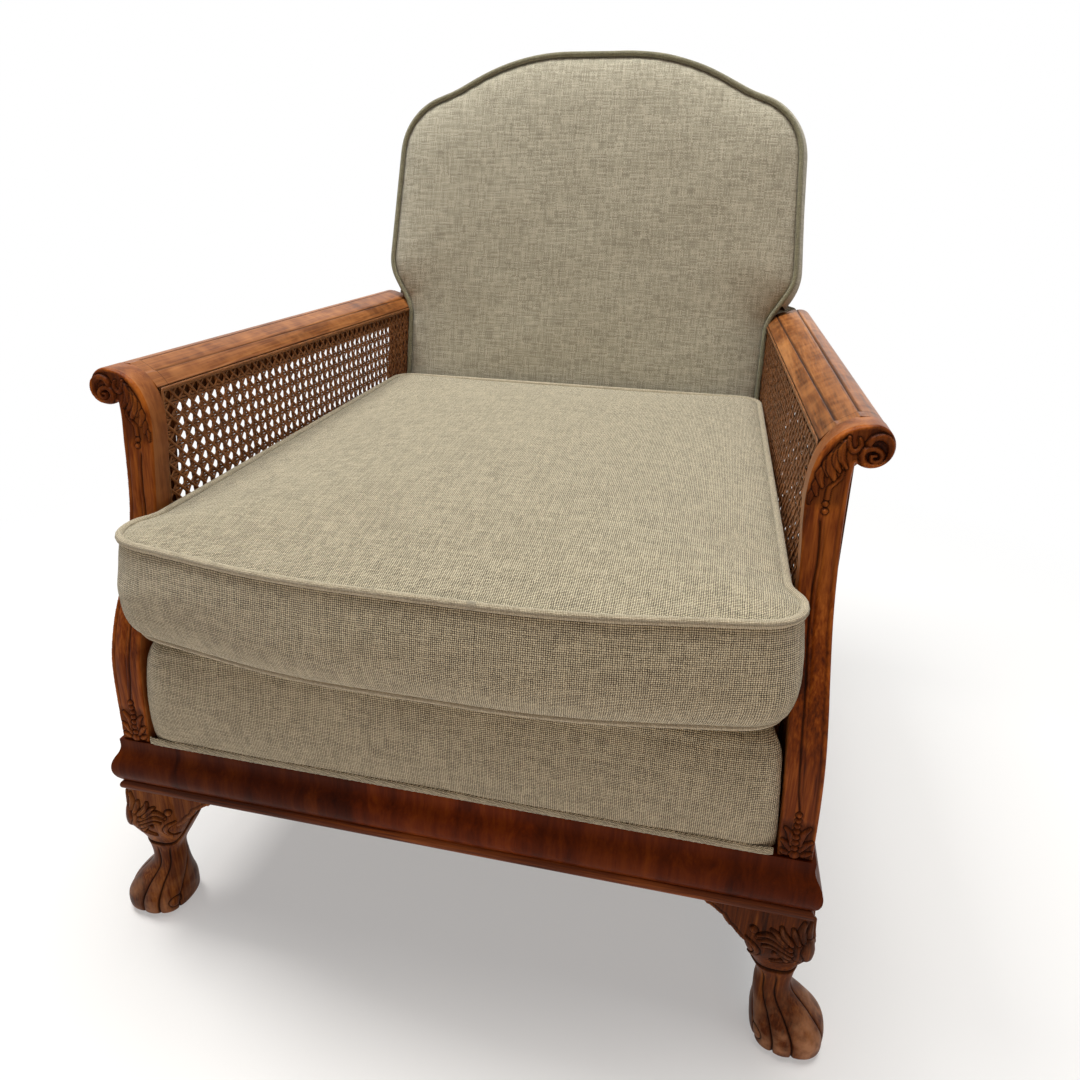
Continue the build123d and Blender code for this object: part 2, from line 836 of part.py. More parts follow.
def spring_way(turn):
    step = 0.001
    return (spring_point(turn + step) - spring_point(turn - step)).normalized()


def least_gap(path):
    """Least distance between points of a spring's line that lie half a turn or more apart."""
    steps = 24 * spring_turns
    points = [path @ (step / steps) for step in range(steps + 1)]
    return min(
        (points[first] - points[second]).length
        for first in range(steps + 1)
        for second in range(first + 12, steps + 1)
    )


def spring():
    """One spring, stood on its own foot."""
    edges = []
    for half in range(2 * spring_turns):
        ends = [half / 2, (half + 1) / 2]
        points = [spring_point(turn) for turn in ends]
        ways = [spring_way(turn) for turn in ends]
        edges += biarc(points[0], ways[0], points[1], ways[1])
    path = Wire(edges)
    section = Plane(origin=path @ 0, x_dir=(0, 0, 1), z_dir=path % 0) * Rectangle(spring_wire, spring_wire)
    print("least gap between a spring's turns", round(least_gap(path) - sqrt(2) * spring_wire, 2))
    return sweep(section, path=path, clean=False)


one_spring = spring()
middle["seat_springs"] = Compound(
    [Pos(x, y, spring_foot) * one_spring for y in spring_rows for x in spring_columns]
)

# Corner blocks behind the rear joints of the seat frame
block_low = rail_bottom + rear_rail_lift + fit_gap
side_in = seat_half_front - rail_taper * rear_rail_y - rail_thick
block_front = rear_rail_y - block_size
block_plan = Polyline(
    (side_in - block_size, rear_rail_y), (side_in, rear_rail_y), (side_in, block_front), close=True
)
block = slab(Plane.XY, block_plan, block_low, rail_top - block_margin)
block = split(block, bisect_by=stile_face, keep=Keep.TOP)
left["corner_block"] = block - left["side_rail"]


# Dowels and screws, each with its hole in the two pieces that it joins
def piece_minus(name, hole):
    if name in left:
        left[name] -= hole
    else:
        middle[name] = middle[name] - hole - mirror(hole, about=Plane.YZ)


def fasten(kind, names, at, way, radius, length):
    """A peg centred on a joint, along a direction, let into both pieces."""
    plane = Plane(origin=at, z_dir=way)
    hole = plane * Cylinder(radius + fit_gap, length + 2 * fit_gap)
    for name in names:
        piece_minus(name, hole)
    pegs[kind].append(plane * Cylinder(radius, length))


def dowel(first, second, at, way):
    fasten("frame_dowels", (first, second), at, way, dowel_radius, dowel_length)


def screw(first, second, at, way):
    fasten("frame_screws", (first, second), at, way, screw_radius, screw_length)


rail_mid_x = seat_half_front - rail_thick / 2
dowel("arm_post", "side_rail", (rail_mid_x, arm_post_y + 0.6 * arm_post_thick, rail_top), (0, 0, 1))
upright_y = cane_y + front_line(rail_top) + 0.375 * side_frame_width
dowel("side_upright_front", "side_rail", (rail_mid_x - dowel_radius, upright_y, rail_top), (0, 0, 1))
head_y = arm_post_y + arm_post_thick / cos(lean_angle) + arm_post_lean * (scroll_z - rail_top)
dowel("arm_rail", "arm_post", (seat_half_front - 5 * dowel_radius, head_y, scroll_z), (0, 1, 0))
arm_joint_z = (arm_under + cane_top) / 2 + dowel_radius / 2
arm_joint_x = post_inner + 0.45 * post_width
dowel("arm_rail", "rear_post", (arm_joint_x, back_y_at(arm_joint_z, -pad_depth), arm_joint_z), (0, 1, 0))
side_joint_x = side_in + 0.4 * rail_thick
for joint_z in (rail_top - 0.65 * rail_height, rail_top - 0.25 * rail_height):
    dowel("side_rail", "rear_post", (side_joint_x, back_y_at(joint_z, -pad_depth), joint_z), (0, 1, 0))
rail_middle = -pad_depth - (post_depth - back_rail_inset) / 2
rail_joints = {
    "rear_rail": rise(rail_top) - 0.5 * back_rail_height,
    "lower_back_rail": (lower_rail_low + lower_rail_high) / 2,
}
for name, up in rail_joints.items():
    dowel(name, "rear_post", back_plane.from_local_coords(Vector(post_inner, up, rail_middle)), (1, 0, 0))
crest_x = (stile_inner + stile_outer) / 2
crest_at = back_plane.from_local_coords(Vector(crest_x, stile_top, rail_middle))
dowel("crest_rail", "rear_post", crest_at, back_plane.y_dir)
screw_high = rail_top - 0.35 * rail_height
screw_low = rail_top - 0.65 * rail_height
screw("front_rail", "front_leg", (block_x, rail_thick, screw_high), (0, 1, 0))
side_screw_y = rail_thick + 0.62 * leg_block
screw("side_rail", "front_leg", (seat_half_front - rail_thick, side_screw_y, screw_low), (1, 0, 0))
block_screw_y = rear_rail_y - 0.55 * block_size
block_screw_z = (block_low + rail_top - block_margin) / 2
screw("side_rail", "corner_block", (side_in, block_screw_y, block_screw_z), (1, 0, 0))

hole_size = leg_block + 2 * webbing_margin
leg_hole = Pos(block_x, block_y, leg_height) * Box(hole_size, hole_size, 4 * bead_height)
dust = dust - leg_hole - mirror(leg_hole, about=Plane.YZ)
middle["dust_cover"] = dust


# Loose cushion: a crowned box cushion that fills the seat and swells in front of the posts
cushion_bottom = deck_top + cushion_lift_off
cushion_front = -cushion_overhang
cushion_rear = back_y_at(cushion_bottom + cushion_rear_height, pad_crown) - cushion_back_gap
cushion_half_front = seat_half_front - cushion_inset_front
cushion_half_posts = seat_half_front - cushion_inset_posts
cushion_half_rear = cane_half_rear - cushion_inset_rear
cushion_middle = (cushion_front + cushion_rear) / 2
cushion_length = cushion_rear - cushion_front
cushion_tilt = atan((cushion_rear_height - cushion_front_height) / cushion_length)
cushion_half_outline = [
    (0.4 * cushion_half_front, cushion_front - cushion_bow),
    (cushion_half_front, cushion_front),
    (cushion_half_front, arm_post_y + cushion_corner_back),
    (cushion_half_posts, arm_post_y + cushion_waist_back),
    (cushion_half_rear, cushion_rear),
]
cushion_corners = [(x, y - cushion_middle) for x, y in mirrored(cushion_half_outline)]
cushion_radii_half = [700, 31, 20, 20, 28]
cushion_radii = cushion_radii_half + cushion_radii_half[::-1]
seam_share = 0.06


def cushion_plane(share, lift=0.0):
    """Plane of a level of the cushion, from its bottom at 0 to its top seam at 1."""
    height = cushion_bottom + share * (cushion_front_height + cushion_rear_height) / 2 + lift
    tilt = share * cushion_tilt
    return Plane(origin=(0, cushion_middle, height), x_dir=(1, 0, 0), z_dir=(0, -sin(tilt), cos(tilt)))


def cushion_wire(by=0.0):
    return rounded(cushion_corners, cushion_radii, by)


def cushion_tube(plane, radius):
    """Piping round the cushion at one level, made as two mirrored halves."""
    sunk = -0.3 * piping_radius
    corners = grown(cushion_corners, sunk)
    half = len(corners) // 2
    radii = turned_radii(cushion_corners, cushion_radii, sunk)
    route = [(0, corners[0][1])] + corners[:half] + [(0, corners[half - 1][1])]
    path = plane * FilletPolyline(*route, radius=radii[:half])
    tube = sweep(Plane(origin=path @ 0, z_dir=path % 0) * Circle(radius), path=path)
    return tube + mirror(tube, about=Plane.YZ)


def seat_cushion():
    base = make_face(cushion_wire())
    levels = [
        (0.0, 0.0, 0.985),
        (seam_share, 0.0, 1.0),
        (1.0, 0.0, 1.0),
        (1.0, 0.41 * cushion_crown, 0.965),
        (1.0, 0.77 * cushion_crown, 0.84),
        (1.0, cushion_crown, 0.5),
    ]
    faces = [cushion_plane(share, lift) * scale(base, size) for share, lift, size in levels]
    return loft(faces, ruled=True)


seam_planes = {"cushion_piping_bottom": cushion_plane(seam_share), "cushion_piping_top": cushion_plane(1.0)}
cushion = seat_cushion()
for name, plane in seam_planes.items():
    cushion -= cushion_tube(plane, piping_radius + soft_gap)
    middle[name] = cushion_tube(plane, piping_radius)
middle["seat_cushion"] = cushion

# Both sides, then the origin in the middle of the box
nodes = dict(middle)
for name, shape in left.items():
    nodes[f"{name}_left"] = shape
    nodes[f"{name}_right"] = mirror(shape, about=Plane.YZ)
for name, shapes in pegs.items():
    nodes[name] = Compound(shapes + [mirror(shape, about=Plane.YZ) for shape in shapes])
box = Compound(list(nodes.values())).bounding_box()
to_origin = Pos(-(box.min.X + box.max.X) / 2, -(box.min.Y + box.max.Y) / 2, -box.min.Z)
print("moved by", to_origin.position, "box", box.size)

os.makedirs("parts", exist_ok=True)
for name, shape in nodes.items():
    export_step(to_origin * shape, f"parts/{name}.step")
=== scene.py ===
"""Looks of an upholstered armchair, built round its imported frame.

Shapes are drawn in millimetres with Y counted from the front rail's face, as the frame was,
and are turned into metres in the frame when a piece is made.
"""

from math import atan, cos, exp, hypot, pi, radians, sin, sqrt, tan

import bpy
import numpy as np
from mathutils import Matrix, Vector
from mathutils.geometry import delaunay_2d_cdt

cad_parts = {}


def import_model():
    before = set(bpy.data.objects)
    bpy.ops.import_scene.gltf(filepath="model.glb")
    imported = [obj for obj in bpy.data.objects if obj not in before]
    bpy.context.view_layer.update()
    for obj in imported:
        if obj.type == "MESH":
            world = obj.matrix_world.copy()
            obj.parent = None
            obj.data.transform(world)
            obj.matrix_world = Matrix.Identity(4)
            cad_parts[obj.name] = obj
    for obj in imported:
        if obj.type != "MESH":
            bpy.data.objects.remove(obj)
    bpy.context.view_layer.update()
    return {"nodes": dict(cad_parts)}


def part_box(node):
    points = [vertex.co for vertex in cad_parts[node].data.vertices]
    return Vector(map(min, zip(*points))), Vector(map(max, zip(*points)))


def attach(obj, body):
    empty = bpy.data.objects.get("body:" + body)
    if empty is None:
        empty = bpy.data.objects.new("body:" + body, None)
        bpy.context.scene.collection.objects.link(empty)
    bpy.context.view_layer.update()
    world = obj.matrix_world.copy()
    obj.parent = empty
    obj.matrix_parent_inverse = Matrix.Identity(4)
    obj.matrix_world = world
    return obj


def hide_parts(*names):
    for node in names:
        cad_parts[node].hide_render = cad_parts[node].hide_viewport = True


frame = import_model()

MM = 0.001

# The sitter's sides, and the sign of X on each
hands = {"left": 1, "right": -1}

# Sizes of the frame that the looks follow, in millimetres and radians
seat_half_front = 335.0
seat_half_rear = 326.0
leg_height = 178.0
rail_bottom = 190.0
rail_top = 239.0
rail_swell = 9.0
deck_top = 363.5
deck_thick = 30.0
scroll_z = 583.0
scroll_radius = 16.5
scroll_inset = 7.0
arm_top = scroll_z + scroll_radius
arm_under = scroll_z - 23.0
arm_rise = scroll_z - rail_top
arm_post_y = 1.5
arm_post_lean = atan(0.121)
arm_post_thick = 45.0
cane_top = scroll_z - 4.5
cane_y = 80.0
cane_half_front = seat_half_front - 42.0
cane_half_rear = seat_half_rear - 50.0
back_y = 714.0
back_z = 665.0
recline = atan(0.2)
back_top = 276.0
back_neck = 273.5
back_shoulder = 290.0
back_ear = 308.0
pad_depth = 30.0
pad_crown = 18.0
border_depth = 70.0
border_bulge = 10.0
piping_radius = 3.4
cushion_bottom = 364.0
cushion_front = -10.0
cushion_rear = 640.0
cushion_bow = 34.0
cushion_half_front = 292.5
cushion_half_posts = 282.0
cushion_half_rear = 274.0
cushion_heights = (103.0, 118.0)
border_back = 32.0

front_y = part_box("front_rail")[0].y / MM + rail_swell
cane_taper = (cane_half_front - cane_half_rear) / (back_y - cane_y)


def world(points):
    """Drawing points in millimetres as frame points in metres."""
    return (np.asarray(points, float) + np.array([0.0, front_y, 0.0])) * MM


# Mesh helpers
def make(name, points, faces, material, body="chair", weave=None, marks=None):
    """A mesh piece from drawing points, with its material, its weave coordinates and its marks."""
    mesh = bpy.data.meshes.new(name)
    mesh.from_pydata(world(points).tolist(), [], [list(face) for face in faces])
    mesh.update()
    if weave is not None:
        corners = np.zeros(len(mesh.loops), np.int64)
        mesh.loops.foreach_get("vertex_index", corners)
        layer = mesh.uv_layers.new(name="weave")
        layer.data.foreach_set("uv", (np.asarray(weave, float)[corners] * MM).ravel())
    for mark, values in (marks or {}).items():
        attribute = mesh.attributes.new(mark, "FLOAT", "POINT")
        attribute.data.foreach_set("value", np.asarray(values, np.float32))
    mesh.polygons.foreach_set("use_smooth", [True] * len(mesh.polygons))
    mesh.materials.append(material)
    obj = bpy.data.objects.new(name, mesh)
    bpy.context.scene.collection.objects.link(obj)
    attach(obj, body)
    return obj


def grid_faces(rows, columns, wrap=False):
    """Quads of a grid of points, row after row; wrap joins each row's end to its start."""
    last = columns if wrap else columns - 1
    faces = []
    for row in range(rows - 1):
        for column in range(last):
            after = (column + 1) % columns
            low, high = row * columns, (row + 1) * columns
            faces.append((low + column, low + after, high + after, high + column))
    return faces


def skirt(count, first, second):
    """Quads of the closed strip between two rings of points, by the numbers of their first points."""
    return [((k + 1) % count + first, k + first, k + second, (k + 1) % count + second) for k in range(count)]


def shifted(faces, by):
    """Faces on points that stand later in the list."""
    return [tuple(by + corner for corner in face) for face in faces]


def flipped(faces):
    return [face[::-1] for face in faces]


def plate_faces(faces, count, start):
    """Faces of a plate, of its rim and of its flat far side, whose points begin at a number."""
    return faces + skirt(count, 0, start) + [tuple(start + k for k in reversed(range(count)))]


def mirror(shape, faces):
    """Turn a left piece's points into its right twin's, and give the twin's faces."""
    shape[:, 0] *= -1
    return flipped(faces)


def looped(outline):
    """A closed outline with its first point again at its end."""
    return np.vstack([outline, outline[:1]])


def run_lengths(line):
    """How far along a line each of its points is."""
    return np.r_[0, np.cumsum(np.linalg.norm(np.diff(line, axis=0), axis=1))]


def places_of(mesh):
    return np.array([tuple(vertex.co) for vertex in mesh.vertices])


def inward(edge, reach):
    """A share from 0 at an edge towards 1 well inside it."""
    return 1 - np.exp(-edge / reach)


def smooth_share(value, low, high):
    """A smooth change from 0 at low to 1 at high."""
    share = np.clip((np.asarray(value, float) - low) / (high - low), 0, 1)
    return share * share * (3 - 2 * share)


def between(value, start, full, fade, end):
    """A smooth change from 0 at the start to 1 when full, and from the fade back to 0 at the end."""
    return smooth_share(value, start, full) * (1 - smooth_share(value, fade, end))


def smooth_line(points, count):
    """Points spread evenly along a smooth curve through the given points."""
    points = np.asarray(points, float)
    points = np.vstack([2 * points[0] - points[1], points, 2 * points[-1] - points[-2]])
    share = np.linspace(0, 1, 24, endpoint=False)[:, None]
    fine = []
    for index in range(1, len(points) - 2):
        before, start, end, after = points[index - 1:index + 3]
        fine.append(0.5 * (2 * start + (end - before) * share
                           + (2 * before - 5 * start + 4 * end - after) * share ** 2
                           + (3 * start - before - 3 * end + after) * share ** 3))
    return evenly(np.vstack(fine + [points[-2:-1]]), count)


def evenly(line, count):
    """Points spread evenly along a line of close points."""
    steps = run_lengths(line)
    wanted = np.linspace(0, steps[-1], count)
    return np.stack([np.interp(wanted, steps, line[:, axis]) for axis in range(line.shape[1])], axis=1)


def mirrored(half):
    """Corners of a closed outline, symmetric about X = 0, from those of its +X half."""
    return list(half) + [(-x, y) for x, y in reversed(half)]


def rounded(corners, radii, step):
    """A closed outline with rounded corners as points about a step apart."""
    line = []
    count = len(corners)
    for index in range(count):
        before, here, after = (np.array(corners[(index + k) % count], float) for k in (-1, 0, 1))
        into = (here - before) / np.linalg.norm(here - before)
        out = (after - here) / np.linalg.norm(after - here)
        turn = np.arctan2(into[0] * out[1] - into[1] * out[0], into @ out)
        reach = radii[index] * tan(abs(turn) / 2)
        start = here - into * reach
        normal = np.array([-into[1], into[0]]) * np.sign(turn)
        centre = start + normal * radii[index]
        for share in np.linspace(0, 1, 12):
            angle = turn * share
            arm = -normal * radii[index]
            line.append(centre + np.array([arm[0] * cos(angle) - arm[1] * sin(angle),
                                           arm[0] * sin(angle) + arm[1] * cos(angle)]))
    line = np.array(line + line[:1])
    return evenly(line, int(run_lengths(line)[-1] / step) + 1)[:-1]


def inside(points, outline):
    """Which points lie within a closed outline."""
    hit = np.zeros(len(points), bool)
    x, y = points[:, 0], points[:, 1]
    for (x0, y0), (x1, y1) in zip(outline, np.roll(outline, -1, axis=0)):
        crosses = (y0 > y) != (y1 > y)
        if y1 != y0:
            hit ^= crosses & (x < (x1 - x0) * (y - y0) / (y1 - y0) + x0)
    return hit


def distance(points, line):
    """Least distance of each point to a line of points, and how far along it that is, from 0 to 1."""
    best = np.full(len(points), 1e9)
    along = np.zeros(len(points))
    count = len(line) - 1
    for index in range(count):
        start, run = line[index], line[index + 1] - line[index]
        share = np.clip(((points - start) @ run) / max(run @ run, 1e-12), 0, 1)
        gap = np.linalg.norm(points - start - share[:, None] * run, axis=1)
        nearer = gap < best
        best[nearer] = gap[nearer]
        along[nearer] = (index + share[nearer]) / count
    return best, along


def filled(outline, spacing):
    """A plate of triangles: its points, the outline's first, and its faces."""
    low, high = outline.min(0), outline.max(0)
    xs = np.arange(low[0] + spacing / 2, high[0], spacing)
    ys = np.arange(low[1] + spacing / 2, high[1], spacing * 0.866)
    grid = np.array([(x + (row % 2) * spacing / 2, y) for row, y in enumerate(ys) for x in xs])
    grid = grid[inside(grid, outline)]
    grid = grid[distance(grid, looped(outline))[0] > 0.6 * spacing]
    points = np.vstack([outline, grid])
    edges = [(index, (index + 1) % len(outline)) for index in range(len(outline))]
    made = delaunay_2d_cdt([Vector(point) for point in points], edges, [], 1, 1e-5)
    return np.array([tuple(point) for point in made[0]]), [tuple(face) for face in made[2]]


def tube(line, radius, sides=10, closed=False):
    """Points and faces of a round tube along a line, with weave coordinates along and around it."""
    line = np.asarray(line, float)
    if closed:
        way = np.roll(line, -1, axis=0) - np.roll(line, 1, axis=0)
    else:
        way = np.gradient(line, axis=0)
    way /= np.linalg.norm(way, axis=1)[:, None]
    side = np.cross(way[0], (0.0, 0.0, 1.0))
    if np.linalg.norm(side) < 0.1:
        side = np.cross(way[0], (0.0, 1.0, 0.0))
    frames = []
    for forward in way:
        side = side - forward * (side @ forward)
        side /= np.linalg.norm(side)
        frames.append((side, np.cross(forward, side)))
    angles = np.linspace(0, 2 * pi, sides, endpoint=False)
    radii = np.broadcast_to(np.asarray(radius, float), (len(line),))
    points = [centre + reach * (cos(angle) * u + sin(angle) * v)
              for centre, reach, (u, v) in zip(line, radii, frames) for angle in angles]
    weave = [(step, angle * float(np.mean(radii))) for step in run_lengths(line) for angle in angles]
    faces = grid_faces(len(line), sides, wrap=True)
    if closed:
        start = (len(line) - 1) * sides
        faces += [(start + k, start + (k + 1) % sides, (k + 1) % sides, k) for k in range(sides)]
    else:
        faces += [tuple(range(sides))[::-1], tuple(range((len(line) - 1) * sides, len(line) * sides))]
    return np.array(points), faces, np.array(weave)


# Material helpers
class Paint:
    """A material's node tree, written with short calls."""

    def __init__(self, name):
        self.material = bpy.data.materials.new(name)
        self.material.use_nodes = True
        self.tree = self.material.node_tree
        self.shader = self.tree.nodes["Principled BSDF"]

    def node(self, kind, values=None, **properties):
        made = self.tree.nodes.new(kind)
        for key, value in properties.items():
            setattr(made, key, value)
        for key, value in (values or {}).items():
            self.put(made.inputs[key], value)
        return made

    def put(self, socket, value):
        if isinstance(value, bpy.types.NodeSocket):
            self.tree.links.new(value, socket)
        else:
            socket.default_value = value

    def math(self, operation, first, second=0.0, third=0.0):
        made = self.node("ShaderNodeMath", {0: first, 1: second, 2: third}, operation=operation)
        return made.outputs[0]

    def vector(self, operation, first, second):
        made = self.node("ShaderNodeVectorMath", {0: first, 1: second}, operation=operation)
        return made.outputs[0]

    def parts(self, vector):
        return self.node("ShaderNodeSeparateXYZ", {0: vector}).outputs

    def joined(self, x, y, z=0.0):
        return self.node("ShaderNodeCombineXYZ", {0: x, 1: y, 2: z}).outputs[0]

    def noise(self, vector, scale=1.0, detail=3.0, rough=0.5, twist=0.0):
        made = self.node(
            "ShaderNodeTexNoise",
            {"Vector": vector, "Scale": scale, "Detail": detail, "Roughness": rough, "Distortion": twist},
        )
        return made.outputs["Fac"]

    def scaled(self, u, v, u_scale, v_scale):
        """Two coordinates, each multiplied, as a vector."""
        return self.joined(self.math("MULTIPLY", u, u_scale), self.math("MULTIPLY", v, v_scale))

    def swayed(self, level, value, middle, share):
        """A level moved by a share of a value's distance from its middle."""
        return self.math("MULTIPLY_ADD", self.math("SUBTRACT", value, middle), share, level)

    def random(self, vector):
        made = self.node("ShaderNodeTexWhiteNoise", {"Vector": vector}, noise_dimensions="3D")
        return made.outputs["Value"]

    def ramp(self, value, stops):
        made = self.node("ShaderNodeValToRGB", {0: value})
        band = made.color_ramp
        while len(band.elements) < len(stops):
            band.elements.new(0.5)
        for element, (place, colour) in zip(band.elements, stops):
            element.position = place
            element.color = (*colour, 1.0)
        return made.outputs[0]

    def mix(self, share, first, second, blend="MIX"):
        made = self.node("ShaderNodeMix", {}, data_type="RGBA", blend_type=blend)
        for key, value in ((0, share), (6, first), (7, second)):
            self.put(made.inputs[key], (*value, 1.0) if isinstance(value, tuple) else value)
        return made.outputs[2]

    def weave(self):
        return self.node("ShaderNodeUVMap", uv_map="weave").outputs[0]

    def mark(self, name):
        return self.node("ShaderNodeAttribute", attribute_name=name).outputs["Fac"]

    def place(self):
        return self.node("ShaderNodeTexCoord").outputs["Object"]

    def bump(self, height, strength, depth):
        made = self.node("ShaderNodeBump", {"Strength": strength, "Distance": depth, "Height": height})
        self.put(self.shader.inputs["Normal"], made.outputs[0])

    def finish(self, **values):
        for key, value in values.items():
            self.put(self.shader.inputs[key.replace("_", " ")], value)
        return self.material


def srgb(red, green, blue):
    """A screen colour, 0 to 255, as a linear one."""
    def linear(part):
        part /= 255
        return part / 12.92 if part <= 0.04045 else ((part + 0.055) / 1.055) ** 2.4
    return linear(red), linear(green), linear(blue)


def fabric(name, light, middle, dark, pitch=0.0017, relief=0.0007, slub=1.0, grid=0.75, yarn=0.36,
           cloud=0.22):
    """Coarse plain weave of uneven yarns, on the weave coordinates.

    Pitch and relief are in metres. Slub, grid, yarn and cloud are the shares of the uneven
    stretches, the painted highlight on the yarns' crowns with painted shade in the gaps between
    yarns, the single yarns' tones and the soft patches."""
    yarn_run = 7.0
    paint = Paint(name)
    weave = paint.weave()
    wobble = paint.noise(weave, scale=140.0, detail=2.0)
    shift = paint.math("MULTIPLY", paint.math("SUBTRACT", wobble, 0.5), 0.0014)
    u_raw, v_raw, _ = paint.parts(weave)
    u = paint.math("DIVIDE", paint.math("ADD", u_raw, shift), pitch)
    v = paint.math("DIVIDE", paint.math("SUBTRACT", v_raw, shift), pitch)
    u_cell, v_cell = paint.math("FLOOR", u), paint.math("FLOOR", v)
    u_run, v_run = (paint.math("FLOOR", paint.math("DIVIDE", part, yarn_run)) for part in (u, v))
    odd = paint.math("PINGPONG", paint.math("ADD", u_cell, v_cell), 1.0)
    warp, weft = (paint.math("ABSOLUTE", paint.math("SINE", paint.math("MULTIPLY", part, pi)))
                  for part in (u, v))
    over = paint.node("ShaderNodeMix", {0: odd, 2: warp, 3: weft}).outputs[0]
    yarn_relief_and_painted_light = paint.math("MULTIPLY", over, paint.math("MULTIPLY_ADD", warp, weft, 0.55))
    warp_tone = paint.random(paint.joined(u_cell, v_run, 3.0))
    weft_tone = paint.random(paint.joined(u_run, v_cell, 8.0))
    tone = paint.node("ShaderNodeMix", {0: odd, 2: warp_tone, 3: weft_tone}).outputs[0]
    across = paint.noise(paint.scaled(u, v, 0.035, 0.8), detail=2.0)
    upright = paint.noise(paint.scaled(u, v, 0.8, 0.035), detail=2.0)
    streak = paint.math("MULTIPLY_ADD", across, 0.6, paint.math("MULTIPLY", upright, 0.4))
    patch = paint.noise(weave, scale=7.0, detail=4.0)
    level = paint.math("MULTIPLY_ADD", tone, yarn, 0.44 - 0.5 * yarn)
    level = paint.swayed(level, streak, 0.5, 0.5 * slub)
    # Painted highlight on the yarns' crowns and painted shade in the gaps between them
    level = paint.swayed(level, yarn_relief_and_painted_light, 0.6, grid)
    level = paint.swayed(level, patch, 0.5, cloud)
    colour = paint.ramp(level, [(0.02, srgb(*dark)), (0.44, srgb(*middle)), (0.86, srgb(*light))])
    paint.bump(paint.math("MULTIPLY_ADD", streak, 0.5 * slub, yarn_relief_and_painted_light), 0.75, relief)
    return paint.finish(Base_Color=colour, Roughness=0.92, Sheen_Weight=0.25, Sheen_Roughness=0.55,
                        Specular_IOR_Level=0.2)


def banded_tone(paint, place, tone_bands):
    """Tone in bands from side to side along X, each given as its far edge in metres and its tone."""
    reach, joint = 0.4, 0.002
    stops, near = [], 0.0
    for edge, tone in tone_bands:
        far = 0.5 * edge / reach + 0.5
        stops += [(near + joint, (tone, tone, tone)), (far - joint, (tone, tone, tone))]
        near = far
    return paint.ramp(paint.math("MULTIPLY_ADD", paint.parts(place)[0], 0.5 / reach, 0.5), stops)


def wood(name, dark, middle, light, along, gloss=0.42, figure=1.0, shine=0.16, scuffed=None, pore=0.4,
         tone_bands=None):
    """Polished wood with its grain along one axis, darker in the marked recesses, where painted
    shade lies over the dark old finish, and paler on worn edges, which on the legs also carry painted light.
    """
    def run(across_grain, along_grain):
        stretch = [across_grain] * 3
        stretch[along] = along_grain
        return paint.vector("MULTIPLY", place, tuple(stretch))

    paint = Paint(name)
    place = paint.place()
    dark, middle, light = (srgb(*tone) for tone in (dark, middle, light))
    grain = paint.noise(run(46.0, 2.6), detail=6.0, rough=0.62, twist=0.9 * figure)
    pores = paint.noise(run(520.0, 16.0), detail=2.0)
    cloud = paint.noise(place, scale=9.0, detail=3.0)
    level = paint.math("MULTIPLY_ADD", grain, 0.75, paint.math("MULTIPLY", cloud, 0.35))
    level = paint.swayed(level, pores, 0.5, pore)
    colour = paint.ramp(level, [(0.38, dark), (0.55, middle), (0.74, light)])
    if tone_bands:
        colour = paint.mix(1.0, colour, banded_tone(paint, place, tone_bands), blend="MULTIPLY")
    patch = paint.noise(place, scale=52.0, detail=4.0)
    patch = paint.node("ShaderNodeMapRange", {"Value": patch, "From Min": 0.4, "From Max": 0.68}).outputs[0]
    # Pale worn places; on the legs this mark also carries painted light, stronger on the +X leg
    worn = paint.math("MULTIPLY", paint.mark("wear_and_painted_light"), patch)
    colour = paint.mix(worn, colour, srgb(*scuffed) if scuffed else tuple(1.25 * part for part in light))
    # Marked recesses are darkened: painted shade in grooves, hollows and under the arm, over the dark old
    # finish that gathers there
    recess = paint.mark("recess")
    colour = paint.mix(paint.math("MINIMUM", recess, 0.93), colour, tuple(0.1 * part for part in dark))
    rough = paint.math("MULTIPLY_ADD", pores, 0.16, gloss - 0.08)
    rough = paint.math("MULTIPLY_ADD", recess, 0.25, rough)
    paint.bump(paint.math("MULTIPLY_ADD", grain, 0.6, pores), 0.22, 0.0005)
    return paint.finish(Base_Color=colour, Roughness=rough, Specular_IOR_Level=shine)


def strand(name, dark, light):
    """Stained cane: fine long streaks along each strand."""
    paint = Paint(name)
    u, v, _ = paint.parts(paint.weave())
    streak = paint.noise(paint.scaled(u, v, 90.0, 2600.0), detail=3.0)
    patch = paint.noise(paint.place(), scale=40.0, detail=2.0)
    level = paint.math("MULTIPLY_ADD", streak, 0.85, paint.math("MULTIPLY", patch, 0.15))
    colour = paint.ramp(level, [(0.36, srgb(*dark)), (0.64, srgb(*light))])
    paint.bump(streak, 0.3, 0.0003)
    return paint.finish(Base_Color=colour, Roughness=0.48, Specular_IOR_Level=0.25)


def steel(name, colour):
    """Drawn wire, a little tarnished."""
    paint = Paint(name)
    patch = paint.noise(paint.place(), scale=60.0, detail=4.0)
    bright = srgb(*colour)
    tone = paint.ramp(patch, [(0.35, tuple(0.55 * part for part in bright)), (0.65, bright)])
    rough = paint.math("MULTIPLY_ADD", patch, 0.3, 0.25)
    return paint.finish(Base_Color=tone, Metallic=1.0, Roughness=rough)


